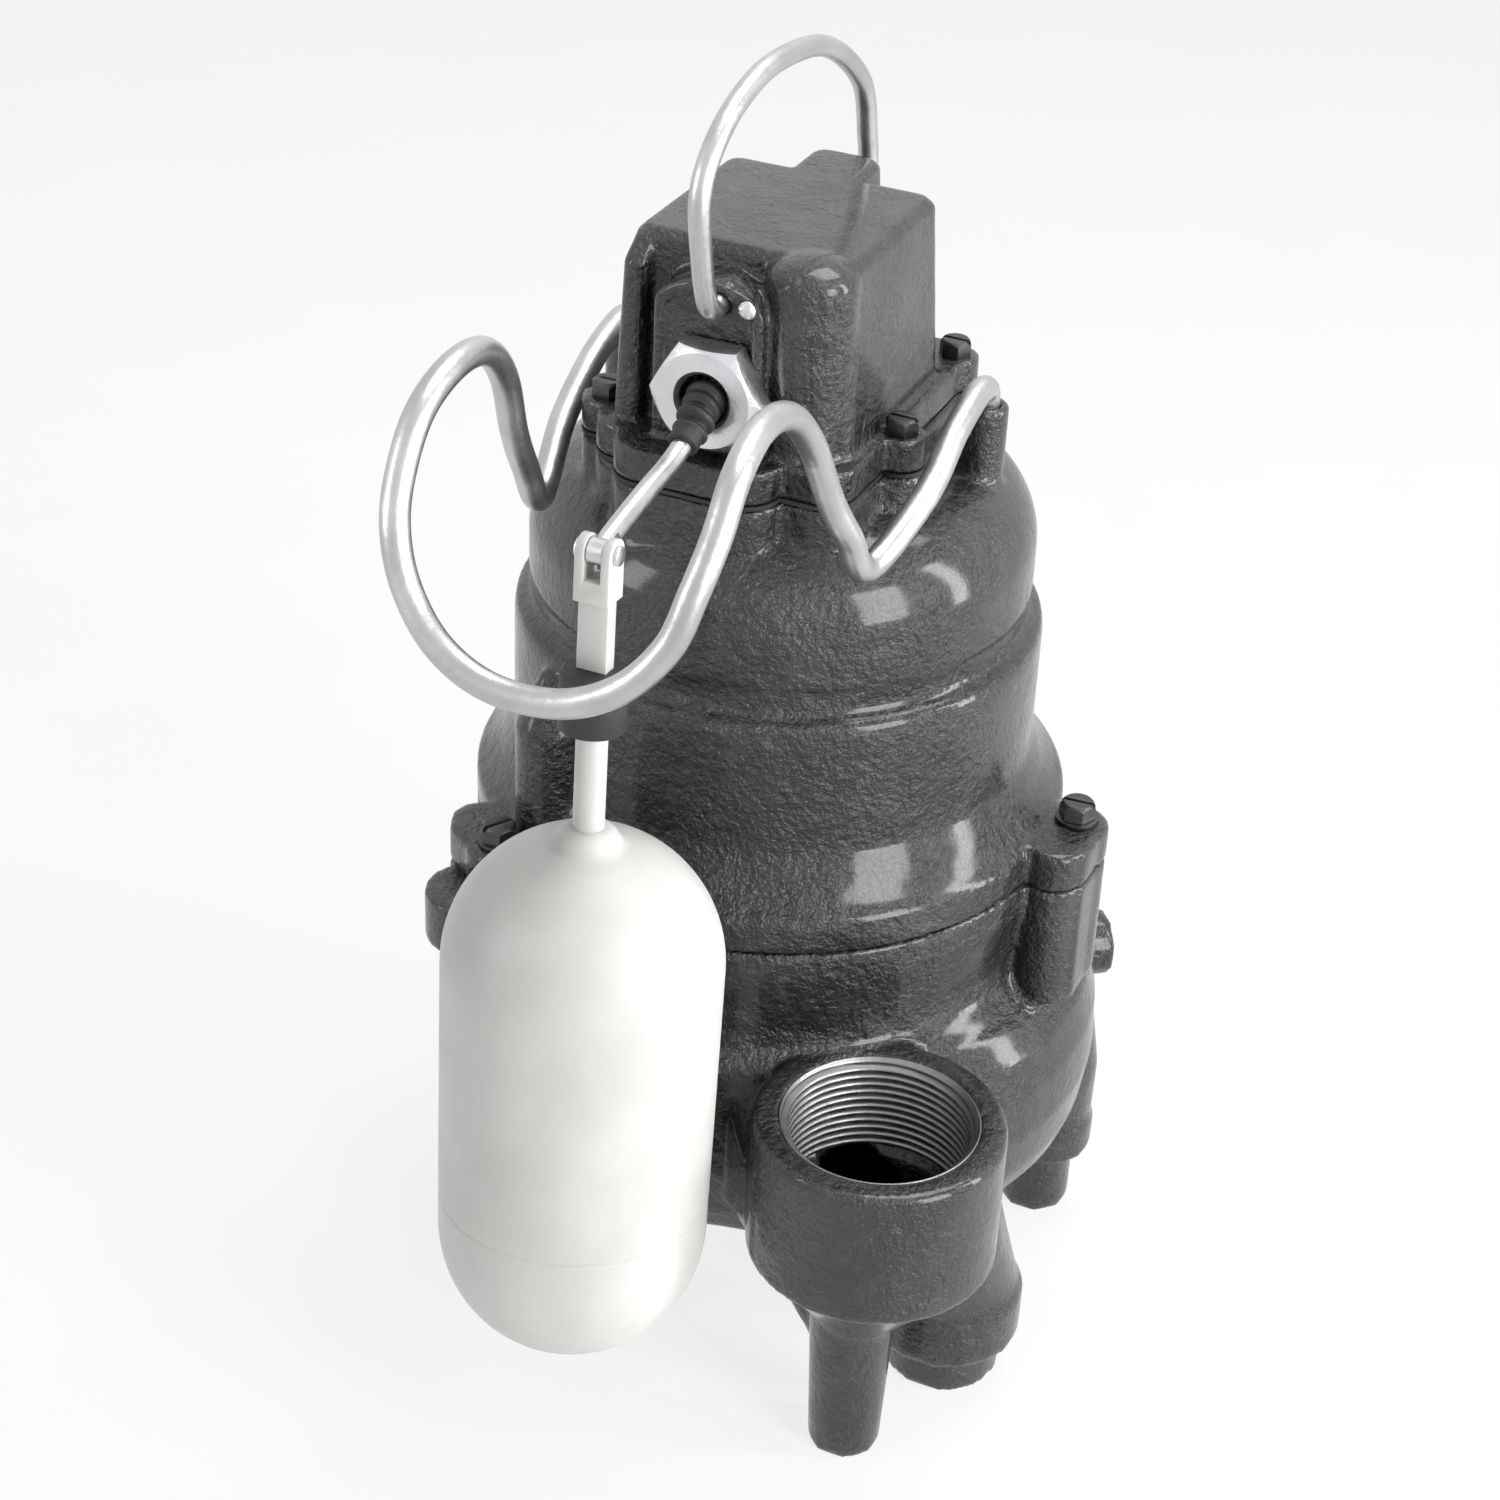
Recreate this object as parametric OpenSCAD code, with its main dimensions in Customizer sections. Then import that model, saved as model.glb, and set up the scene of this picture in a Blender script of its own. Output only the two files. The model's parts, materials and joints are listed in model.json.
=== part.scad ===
/* [Motor housing] */
// Radius of the motor housing below its step
housing_r = 65.5; // [62:0.5:69]
// Radius of the motor housing above its step
housing_top_r = 62; // [58:0.5:64]
// Wall of the motor housing
housing_wall = 6; // [4:0.5:8]
// Height of the joint between volute and motor housing
joint_z = 95; // [88:1:102]
// Height from the joint to the step in the housing
step_rise = 58; // [54:1:64]
// Height from the step to the cover seat
seat_rise = 48; // [44:1:54]
// Radius of the rounded shoulder
shoulder_round = 20; // [14:1:22]
// Radius of the joint flange
flange_r = 75; // [73:0.5:77]
// Thickness of the joint flange
flange_t = 9; // [7:0.5:12]

/* [Volute] */
// Radius of the scroll below its ridge
scroll_r = 78.2; // [76:0.5:80]
// How far the scroll swells towards the discharge side
scroll_swell = 12.5; // [9:0.5:14]
// Height of the ridge round the scroll
ridge_z = 63; // [54:1:70]
// Wall of the volute
volute_wall = 7; // [5:0.5:9]
// Radius of the impeller chamber
chamber_r = 48; // [46:0.5:51]
// Height of the impeller chamber
chamber_h = 34; // [30:1:38]
// Drop from the inlet face to the floor
foot_drop = 42; // [36:1:50]

/* [Discharge] */
// Distance from the shaft axis to the discharge axis
mouth_reach = 100.5; // [97:0.5:106]
// Direction of the discharge about the shaft
mouth_angle = -50; // [-54:1:-46]
// Height of the discharge face
mouth_z = 65; // [58:1:72]
// Outside radius of the discharge boss
mouth_r = 30.5; // [28:0.5:33]
// Bore radius at the root of the pipe thread
thread_r = 22; // [20:0.25:23]
// Length of the threaded bore
thread_len = 27; // [22:1:30]
// Size of the lead-in chamfer at the mouth
mouth_chamfer = 1.7; // [1:0.1:2.5]
// Height of the discharge boss
mouth_h = 38; // [34:1:42]

/* [Legs] */
// Radius of the slim leg under the discharge
slim_leg_r = 9.1; // [8:0.1:11]
// Radius of the thick foot
thick_foot_r = 15; // [12:0.5:17]
// Radius of the round feet
round_foot_r = 9.6; // [8:0.1:12]
// How far each ear stands out past its foot
ear_margin = 4.6; // [3:0.2:6]

/* [Switch cover] */
// Half width of the cover at its top
cover_half_w = 27; // [25:0.5:29]
// Height of the cover above its flange
cover_h = 45; // [42:0.5:50]
// Thickness of the cover flange
cover_flange_t = 8; // [6:0.5:10]
// Wall of the cover
cover_wall = 3.5; // [3:0.25:5]
// How far the sides lean out from top to flange
cover_draft = 2.5; // [1.5:0.25:3]
// Thickness of the gasket under the cover
cover_gasket_t = 1; // [0.8:0.1:2]

/* [Gland and float] */
// Across-flats size of the gland nut
gland_flats = 24; // [21:0.5:27]
// Thickness of the gland nut head
gland_head_t = 7; // [5:0.5:9]
// Height of the gland axis above the cover flange seat
gland_rise = 23; // [21:0.5:25]
// Radius of the lever rod
lever_r = 2.4; // [2:0.1:3]
// Distance from the lever pivot to the float pin
lever_reach = 64; // [62:0.5:66]
// Radius of the float
float_r = 32.5; // [31:0.5:34.5]
// Length of the float
float_len = 140; // [135:1:155]
// Wall of the float shell
float_wall = 1.8; // [1.2:0.1:3]
// Length of the rod between collar and float
float_rod_len = 24; // [20:0.5:30]
// Radius of the float rod
float_rod_r = 3.6; // [3:0.1:4.5]
// Radius of the collar
collar_r = 7.7; // [6:0.1:9]
// Height of the collar
collar_h = 14; // [10:0.5:18]
// Length of the clip bar from the pin to the collar
bar_len = 27.5; // [25:0.5:32]

/* [Wires] */
// Radius of the guard wire
guard_r = 3.2; // [2.8:0.1:3.6]
// How far the guard reaches in front of the shaft axis
guard_reach = 149; // [143:1:156]
// Half width of the guard loop
guard_half_w = 34; // [33:0.5:37]
// Radius of the bail wire
bail_r = 2.5; // [2:0.1:3]
// Height of the bail above the cover top
bail_rise = 38; // [32:1:46]

/* [Motor] */
// Radius of the shaft
shaft_r = 6.35; // [5.5:0.05:7]
// Length of the stator stack
stack_len = 44; // [38:1:50]
// Radius of the rotor
rotor_r = 27; // [25:0.5:30]
// Air gap between rotor and stator
air_gap = 0.5; // [0.4:0.05:1]
// Radius of the impeller
impeller_r = 42; // [38:0.5:45]
// Number of impeller vanes
vane_count = 6; // [4:1:8]

/* [Hidden] */
$fn = 96;
eps = 0.01;
fit_gap = 0.1;
run_gap = 0.05;
body_gap = 0.4;

// Heights that follow from the driving sizes
floor_z = -foot_drop;
step_z = joint_z + step_rise;
seat_z = step_z + seat_rise;
shoulder_z = seat_z - 25;
cover_base_z = seat_z + cover_gasket_t;
cover_side_z = cover_base_z + cover_flange_t;
cover_top_z = cover_side_z + cover_h;
gland_z = cover_base_z + gland_rise;

// Plan of the cover: x and y limits at its top, and of its flange
cover_front_y = -33;
cover_back_y = 20;
bump_back_y = 35;
bump_x = -2;
bump_half_w = 9;
flange_half_w = cover_half_w + cover_draft + 3;
flange_front_y = -44;
flange_back_y = bump_back_y + cover_draft + 3;
flange_corner = 8;
nose_y = -53;
panel_y = -44;
panel_left = -16;
panel_right = 11;
column_at = [17.5, -32];
column_r = 10.5;
rib_w = 6;
rib_y = -38;

// Mating places of bolts
cover_bolt_r = 2.5;
cover_lug_r = 6;
bolt_x = cover_half_w + cover_draft + 4.6;
cover_bolts_at = [[bolt_x, -14], [-bolt_x, -29], [bolt_x - 5, 33], [5 - bolt_x, 33]];
lug_angles = [5, -121, 124];
lug_pitch_r = housing_r + 15;
lug_r = 8.3;
lug_top_rise = 10.5;
port_angle = 38;
port_z = 34;
port_reach = 98;
swell_angle = 5;
lug_drop = 34;
housing_bolt_r = 3;
mouth = [mouth_reach * cos(mouth_angle), mouth_reach * sin(mouth_angle)];

// Legs: place of each foot, and underside and top of its ear
thick_foot = [71.5, -34];
right_foot = [70.8, 40];
rear_foot = [-56, 52];
front_foot = [-27, -60];
slim_foot = [60.2, -73.4];
thick_ear = [-30, -15];
round_ear = [-22, -12];
leg_seat_z = 34;

// Inlet and base plate
inlet_r = 24;
plate_r = chamber_r + 7;
plate_t = 7;
plate_gasket_t = 1;
plate_screw_at_r = chamber_r + 3.5;
plate_screw_r = 2;
plate_screw_len = 16;
chamber_z = plate_t + plate_gasket_t;
chamber_top_z = chamber_z + chamber_h;
ceiling_t = 8;
ceiling_z = chamber_top_z + ceiling_t;

// Bearing bracket, clamped at the joint
bracket_t = 10;
bracket_z = joint_z - bracket_t;
bracket_r = housing_r + 1.5;
well_r = bracket_r - 4;
hub_r = 22;
hub_h = 16;
bearing_or = 17;
bearing_w = 10;
bearing_z = bracket_z - 8;
race_t = 3;
ball_r = 2.9;
ball_pitch_r = (bearing_or + shaft_r) / 2;
ball_count = 9;
seal_groove_r = bracket_r + 3.5;
cord_r = 1.5;

// Shaft seal
seat_bore_r = 16;
seat_ring_t = 6;
seal_face_t = 4;
bellows_h = 10;

// Motor
bore_r = housing_top_r - housing_wall;
low_bore_r = housing_r - housing_wall;
stator_z = joint_z + 23;
stator_top_z = stator_z + stack_len;
stator_bore_r = rotor_r + air_gap;
winding_h = 11;
winding_ro = bore_r - 6;
winding_ri = stator_bore_r + 4;
end_ring_t = 5;
ceiling_low_z = seat_z - 14;
corner_z = ceiling_low_z - 13;
corner_r = bore_r - 6;
bush_or = 11;
bush_len = 12;
bush_hub_r = 15;
bush_z = ceiling_low_z - bush_len;
impeller_gap = 3;
impeller_h = 22;
shroud_t = 4;
nut_h = 5;
nut_sink = 4;
shaft_z = chamber_z + impeller_gap + nut_sink;
wire_hole = [bump_x, 26];
wire_hole_r = 5;

// Lever: pivot, the places it passes, and the pin at its end
pivot = [0, panel_y + 7.5, gland_z + 2.5];
pin = [0, pivot[1] - lever_reach, pivot[2] - 17];
lever_path = [pivot, [0, pivot[1] - 8, pivot[2] - 2], [0, panel_y - gland_head_t, gland_z - 1.5],
              [0, panel_y - gland_head_t - 6, gland_z - 5.5], [0, panel_y - 22, gland_z - 8.4],
              [0, panel_y - 33, gland_z - 10], [0, pin[1] + 12, pin[2] + 2.6], [0, pin[1] + 4, pin[2] + 1],
              pin];
pivot_r = 1.5;
pivot_eye_r = 3.6;
pin_r = 1.2;
pin_gap = 0.06;
eye_r = 3;
eye_half_w = 1.8;
arm_reach = 14.5;
arm_r = 1.8;
cheek_gap = 0.3;

// Float, in the frame of its pin with the float hanging down
clip_half_w = 4.2;
clip_half_d = 3.6;
clip_top = 3.4;
clip_drop = 11;
bar_half_w = 3.6;
bar_half_t = 2;
side_play = 0.6;
neck_h = 4;
neck_r = 7;
collar_z = -bar_len;
float_top_z = collar_z - collar_h - float_rod_len;
shell_z = float_top_z - neck_h;
upper_z = shell_z - float_r;
lower_z = shell_z - float_len + float_r + 4;
weld_z = lower_z + 9;

// Angle at which the float's side rests against a round edge below the pin
function lean_on(r, z) = let (out = -pin[1] - r, down = pin[2] - z)
    asin((float_r + body_gap) / norm([out, down])) - atan2(out, down);
float_lean = max(lean_on(flange_r, joint_z + flange_t), lean_on(scroll_r, ridge_z - 8));

// Switch under the cover
shelf_z = gland_z - 13;
shelf_t = 2;
switch_h = 8;
plunger_at = [0, pivot[1] + 13];
plunger_r = 2;
plunger_gap = 0.4;
switch_top_z = shelf_z + shelf_t + switch_h;
cheek_x = 4.2;
cheek_t = 1.6;
bracket_foot_y = 3;

// Gland, boot, cord inlet and rivet
gland_hole_r = 6;
boot_ring_r = [5.1, 4.6, 4.6, 4.2];
boot_pitch = 2.7;
cord_z = cover_base_z + 23;
rivet_r = 1.3;
function boot_at(k) = let (y = panel_y - gland_head_t + 2.5 - boot_pitch * k) [0, y, lever_z(y, 0)];
function lever_z(y, i) = lever_path[i + 1][1] <= y || i >= len(lever_path) - 2
    ? lever_path[i][2] + (lever_path[i + 1][2] - lever_path[i][2]) * (y - lever_path[i][1])
        / (lever_path[i + 1][1] - lever_path[i][1])
    : lever_z(y, i + 1);
function boot_tilt(k) = [12, 14, 26, 32, 26][k];

// Guard and bail
guard_turn = 3;
guard_boss = [46, 9];
guard_boss_r = 5.5;
guard_boss_top_z = seat_z + 9;
guard_pin_r = guard_r + fit_gap;
guard_bury = 9;
guard_low_z = seat_z + 0.5;
guard_side = [[guard_boss[0], guard_boss[1], guard_boss_top_z - guard_bury],
    [guard_boss[0], guard_boss[1], guard_boss_top_z - 3],
    [guard_boss[0], guard_boss[1], guard_boss_top_z + 0.5],
    [guard_boss[0], 7, guard_boss_top_z + 4],
    [guard_boss[0] - 0.3, 0, guard_boss_top_z + 4.5], [45.5, -14, guard_boss_top_z + 1.5],
    [44.9, -32, seat_z + 2.2], [guard_half_w + 6, -55, seat_z - 6],
    [guard_half_w + 4.7, -66, seat_z + 7], [guard_half_w + 3.2, -75, seat_z + 20],
    [guard_half_w + 1.3, -84, seat_z + 37], [guard_half_w, -96, seat_z + 48],
    [guard_half_w - 0.3, -111, seat_z + 51], [guard_half_w + 0.2, -125, seat_z + 47],
    [guard_half_w + 0.1, guard_reach * -0.9, seat_z + 38],
    [guard_half_w - 1.6, guard_reach * -0.945, seat_z + 28.5],
    [guard_half_w - 5.4, guard_reach * -0.966, seat_z + 17],
    [guard_half_w - 14, guard_reach * -0.987, seat_z + 7], [7.6, -guard_reach, guard_low_z + 1]];
// How far each bend on the discharge side is tucked in, to clear a pipe that stands in the mouth
guard_tuck = [0, 0, 0, 0, 0, 0, 0, 1, 3.5, 8, 9, 5, 2, 0, 0, 0, 0, 0, 0];
guard_tucked = [for (i = [0 : len(guard_side) - 1]) guard_side[i] + guard_tuck[i] * [-0.29, 0.8, -0.525]];
guard_mirror = [for (i = [len(guard_side) - 1 : -1 : 0])
    [-guard_side[i][0], guard_side[i][1], guard_side[i][2]]];
bail_z = cover_top_z - 9.5;
bail_hole_r = bail_r + run_gap;
bail_top_z = cover_top_z + bail_rise;
bail_front = panel_y - 1;
bail_back = bump_back_y + cover_draft + 1;
bail_path = [[0, bail_front + 4.4, bail_z], [0, bail_front + 1, bail_z], [0, bail_front - 2, bail_z],
    [0, bail_front - 5, bail_z + 3], [0, bail_front - 8, bail_z + 12], [0, bail_front - 10.5, bail_z + 28],
    [0, bail_front - 5, bail_top_z - 10], [0, bail_front + 7.5, bail_top_z - 3],
    [0, bail_front + 26.5, bail_top_z],
    [0, 9.8, bail_top_z - 4.5], [0, bail_back - 5, bail_z + 28], [0, bail_back + 1.5, bail_z + 12],
    [0, bail_back + 3, bail_z + 4], [0, bail_back + 1.5, bail_z], [0, bail_back - 2, bail_z],
    [0, bail_back - 4.5, bail_z]];

// Rounded rectangle in plan, from its limits
module plan(x0, x1, y0, y1, r) {
    translate([x0 + r, y0]) square([x1 - x0 - 2 * r, y1 - y0]);
    translate([x0, y0 + r]) square([x1 - x0, y1 - y0 - 2 * r]);
    for (x = [x0 + r, x1 - r], y = [y0 + r, y1 - r]) translate([x, y]) circle(r);
}

// A thin slab of a rounded rectangle, for hulls
module slab(x0, x1, y0, y1, r, z) {
    translate([0, 0, z]) linear_extrude(eps) plan(x0, x1, y0, y1, r, $fn = 32);
}

module at_angle(a, r, z = 0) {
    rotate([0, 0, a]) translate([r, 0, z]) children();
}

module ring(ro, ri, h) {
    difference() {
        cylinder(r = ro, h = h);
        translate([0, 0, -1]) cylinder(r = ri, h = h + 2);
    }
}

// Hexagon head with a chamfered top, across the flats
module hex_head(flats, h) {
    intersection() {
        cylinder(r = flats / sqrt(3), h = h, $fn = 6);
        union() {
            cylinder(r = flats, h = h * 0.75);
            translate([0, 0, h * 0.75 - eps])
                cylinder(r1 = flats / sqrt(3), r2 = flats / 2 * 0.9, h = h * 0.25 + eps);
        }
    }
}

function unit(v) = v / norm(v);

// Points of a smooth curve through p, steps to each span
function curve(p, steps) = concat([for (i = [0 : len(p) - 2], j = [0 : steps - 1])
    let (a = p[max(i - 1, 0)], b = p[i], c = p[i + 1], d = p[min(i + 2, len(p) - 1)], t = j / steps)
    0.5 * (2 * b + (c - a) * t + (2 * a - 5 * b + 4 * c - d) * pow(t, 2)
           + (3 * b - a - 3 * c + d) * pow(t, 3))], [p[len(p) - 1]]);

// Frames carried along a path so that a tube doesn't twist
function tangent(p, i) = unit(p[min(i + 1, len(p) - 1)] - p[max(i - 1, 0)]);
function carry(n, t) = unit(n - (n * t) * t);
function normals(p, n, i) = i >= len(p) ? [] :
    let (m = carry(n, tangent(p, i))) concat([m], normals(p, m, i + 1));

// Round tube along a path, closed at both ends
module tube(p, r, sides, start) {
    ns = normals(p, start, 0);
    points = [for (i = [0 : len(p) - 1], k = [0 : sides - 1])
        let (t = tangent(p, i), b = cross(t, ns[i]), a = 360 * k / sides)
        p[i] + r * (cos(a) * ns[i] + sin(a) * b)];
    last = (len(p) - 1) * sides;
    faces = concat(
        [[for (k = [0 : sides - 1]) k]],
        [for (i = [0 : len(p) - 2], k = [0 : sides - 1])
            let (m = (k + 1) % sides) [i * sides + k, (i + 1) * sides + k, (i + 1) * sides + m]],
        [for (i = [0 : len(p) - 2], k = [0 : sides - 1])
            let (m = (k + 1) % sides) [i * sides + k, (i + 1) * sides + m, i * sides + m]],
        [[for (k = [sides - 1 : -1 : 0]) last + k]]);
    polyhedron(points, faces, convexity = 8);
}

// One leg: a flare from the scroll at root down to an ear, with a foot below
module leg(at, foot_r, ear, root) {
    ear_r = foot_r + ear_margin;
    translate([at[0], at[1], floor_z]) cylinder(r = foot_r, h = ear[0] - floor_z + 1);
    translate([at[0], at[1], ear[0]]) cylinder(r = ear_r, h = ear[1] - ear[0]);
    hull() {
        translate([at[0], at[1], ear[1] - 1]) cylinder(r = ear_r - 0.8, h = eps, $fn = 32);
        translate([root[0], root[1], chamber_z - 2]) cylinder(r = ear_r + 1, h = eps, $fn = 32);
        translate([root[0] * 0.94, root[1] * 0.94, root[2]]) cylinder(r = ear_r - 1, h = eps, $fn = 32);
    }
}

// Outside of the scroll up to the joint, and the part that swells towards the discharge
module scroll_outside() {
    rotate_extrude() polygon([
        [0, chamber_z], [scroll_r - 7, chamber_z], [scroll_r - 3, chamber_z + 3],
        [scroll_r - 1.5, chamber_z + 14], [scroll_r, chamber_z + 16], [scroll_r, ridge_z - 6],
        [scroll_r - 1, ridge_z - 1], [flange_r - 1.5, ridge_z + 2.5], [flange_r - 2.5, ridge_z + 8],
        [flange_r, joint_z - 8], [flange_r, joint_z + 2], [0, joint_z + 2]]);
    at_angle(swell_angle, scroll_swell) rotate_extrude() polygon([
        [0, chamber_z + 0.7], [scroll_r - 9, chamber_z + 0.7], [scroll_r - 4, chamber_z + 3.5],
        [scroll_r - 2, chamber_z + 10], [scroll_r - 0.5, ridge_z - 33], [scroll_r - 1.2, ridge_z - 20],
        [scroll_r - 4, ridge_z - 10], [scroll_r - 9, ridge_z - 3.4], [scroll_r - 15, ridge_z - 0.6], [0, ridge_z - 0.6]]);
}

// Boss and elbow of the discharge
module mouth_outside() {
    translate([mouth[0], mouth[1], mouth_z - mouth_h]) rotate_extrude()
        polygon([[0, 0], [mouth_r, 0], [mouth_r, mouth_h - 1], [mouth_r - 1, mouth_h], [0, mouth_h]]);
    hull() {
        translate([mouth[0], mouth[1], mouth_z - mouth_h + 2]) cylinder(r = mouth_r - 0.7, h = eps, $fn = 32);
        translate([mouth[0] * 0.96, mouth[1] * 0.96, 12]) sphere(r = 15, $fn = 32);
        at_angle(mouth_angle, 52, 34) sphere(r = 25, $fn = 32);
    }
    hull() {
        translate([mouth[0], mouth[1], mouth_z - mouth_h + 3]) cylinder(r = mouth_r - 2, h = 11, $fn = 32);
        at_angle(mouth_angle, 52, mouth_z - mouth_h - 7) cylinder(r = 30, h = 35, $fn = 32);
    }
}

// Slim tapered leg with the web that ties it to the scroll
module slim_leg() {
    translate([slim_foot[0], slim_foot[1], floor_z])
        cylinder(r1 = slim_leg_r, r2 = slim_leg_r + 2.5, h = foot_drop + 20);
    hull() {
        translate([slim_foot[0], slim_foot[1], floor_z + 20]) cylinder(r = 3.5, h = foot_drop, $fn = 32);
        at_angle(mouth_angle - 16, scroll_r - 12, chamber_z) cylinder(r = 3.5, h = 10, $fn = 32);
    }
}

// Plan of a lug for a joint bolt, stretched a little round the flange
module lug_plan(a) {
    rotate(a) {
        translate([lug_pitch_r, 0]) circle(lug_r);
        rotate(-9) translate([lug_pitch_r - 1, 0]) circle(lug_r - 1);
        rotate(-9) intersection() {
            circle(lug_pitch_r + lug_r - 1);
            polygon([[50, 0], [2 * lug_pitch_r, 0], 2 * lug_pitch_r * [cos(9), sin(9)], 50 * [cos(9), sin(9)]]);
        }
    }
}

module volute_outside() {
    scroll_outside();
    mouth_outside();
    slim_leg();
    leg(thick_foot, thick_foot_r, thick_ear, [66, -42, 26]);
    leg(right_foot, round_foot_r, round_ear, [right_foot[0] * 0.98, right_foot[1] * 0.98, ridge_z - 15]);
    leg(rear_foot, round_foot_r, round_ear, [rear_foot[0] * 0.9, rear_foot[1] * 0.9, ridge_z - 22]);
    leg(front_foot, round_foot_r - 1, round_ear, [front_foot[0] * 0.94, front_foot[1] * 0.94, ridge_z - 25]);
    for (a = lug_angles) translate([0, 0, joint_z - lug_drop]) linear_extrude(lug_drop + 3) lug_plan(a);
    at_angle(lug_angles[1], lug_pitch_r + 8, joint_z - 14) cylinder(r = lug_r + 3, h = 18);
    at_angle(port_angle, 62, port_z) rotate([0, 90, 0]) cylinder(r = 9, h = port_reach - 62);
}

module volute() {
    color([0.16, 0.16, 0.17]) difference() {
        volute_outside();
        rotate_extrude() polygon([
            [0, floor_z - 1], [plate_r + fit_gap, floor_z - 1], [plate_r + fit_gap, chamber_z],
            [chamber_r, chamber_z], [chamber_r, chamber_top_z], [seat_bore_r, chamber_top_z],
            [seat_bore_r, ceiling_z], [well_r, ceiling_z], [well_r, bracket_z],
            [bracket_r + fit_gap, bracket_z], [bracket_r + fit_gap, joint_z + 6], [0, joint_z + 6]]);
        translate([-150, -150, joint_z]) cube([300, 300, 10]);
        at_angle(mouth_angle, 34, chamber_z + 17) rotate([0, 90, 0]) cylinder(r = 14, h = mouth_reach - 34);
        translate([mouth[0], mouth[1], 0]) rotate_extrude() polygon([
            [0, chamber_z + 10], [13, chamber_z + 10], [thread_r - 2.5, chamber_z + 24],
            [thread_r - 2.5, mouth_z - thread_len], [thread_r, mouth_z - thread_len],
            [thread_r, mouth_z - mouth_chamfer], [thread_r + mouth_chamfer + 1, mouth_z + 1], [0, mouth_z + 1]]);
        translate([0, 0, joint_z - 2 * cord_r]) ring(seal_groove_r + cord_r, seal_groove_r - cord_r, 2 * cord_r + 1);
        for (a = lug_angles) at_angle(a, lug_pitch_r, joint_z - 24) cylinder(r = housing_bolt_r, h = 25);
        for (a = [0 : 90 : 270]) at_angle(a, plate_screw_at_r, chamber_z - 1)
            cylinder(r = plate_screw_r, h = plate_screw_len - plate_t + 1);
        at_angle(port_angle, port_reach - 9, port_z) rotate([0, 90, 0]) cylinder(r = 4.5, h = 12);
    }
}

module suction_plate() {
    color([0.2, 0.2, 0.21]) difference() {
        union() {
            cylinder(r = plate_r, h = plate_t);
            translate([0, 0, plate_t - eps]) cylinder(r = inlet_r + 4, h = 2);
        }
        translate([0, 0, -1]) cylinder(r = inlet_r, h = plate_t + 4);
        for (a = [0 : 90 : 270]) at_angle(a, plate_screw_at_r, -1)
            cylinder(r = plate_screw_r + fit_gap, h = plate_t + 2);
    }
}

module suction_plate_gasket() {
    color([0.1, 0.1, 0.1]) difference() {
        translate([0, 0, plate_t]) ring(plate_r, chamber_r, plate_gasket_t);
        for (a = [0 : 90 : 270]) at_angle(a, plate_screw_at_r, plate_t - 1)
            cylinder(r = plate_screw_r + fit_gap, h = plate_gasket_t + 2);
    }
}

module suction_plate_screws() {
    color([0.7, 0.7, 0.72]) for (a = [0 : 90 : 270]) at_angle(a, plate_screw_at_r) {
        cylinder(r = plate_screw_r, h = plate_screw_len);
        difference() {
            translate([0, 0, -3]) cylinder(r = 4.2, h = 3);
            translate([-5, -0.6, -4]) cube([10, 1.2, 2.2]);
        }
    }
}

// Outline of the cover flange, its gasket and the seat below it
module flange_plan() {
    plan(-flange_half_w, flange_half_w, flange_front_y, flange_back_y, flange_corner);
    plan(-24, 17, nose_y, 0, 9);
    for (p = cover_bolts_at) translate(p) circle(cover_lug_r);
}

module housing_outside() {
    round_r = housing_top_r - shoulder_round;
    rotate_extrude() polygon(concat([[0, joint_z - 3], [flange_r, joint_z - 3], [flange_r, joint_z + flange_t],
        [flange_r - 2, joint_z + flange_t + 1.5], [housing_r + 3.8, joint_z + flange_t + 6.3],
        [housing_r, joint_z + flange_t + 14], [housing_r, step_z - 4], [housing_r - 0.6, step_z - 1],
        [housing_top_r - 0.8, step_z], [housing_top_r - 0.8, step_z + 7], [housing_top_r, step_z + 7.5]],
        [for (a = [0 : 7.5 : 90]) [round_r + shoulder_round * cos(a), shoulder_z - 4 + shoulder_round * sin(a)]],
        [[0, shoulder_z - 4 + shoulder_round]]));
    translate([0, 0, shoulder_z - 12]) linear_extrude(seat_z - shoulder_z + 12) flange_plan();
    for (s = [-1, 1]) rotate([0, 0, guard_turn]) translate([s * guard_boss[0], guard_boss[1], shoulder_z - 10])
        cylinder(r = guard_boss_r, h = guard_boss_top_z - shoulder_z + 10);
    for (a = lug_angles) translate([0, 0, joint_z - 2]) linear_extrude(lug_top_rise + 2) lug_plan(a);
    // taller boss over the front bolt
    at_angle(lug_angles[1], 66.5, joint_z + 4) rotate_extrude()
        polygon([[0, 0], [lug_r, 0], [lug_r, 36], [lug_r - 6, 50], [0, 50]]);
}

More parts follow.
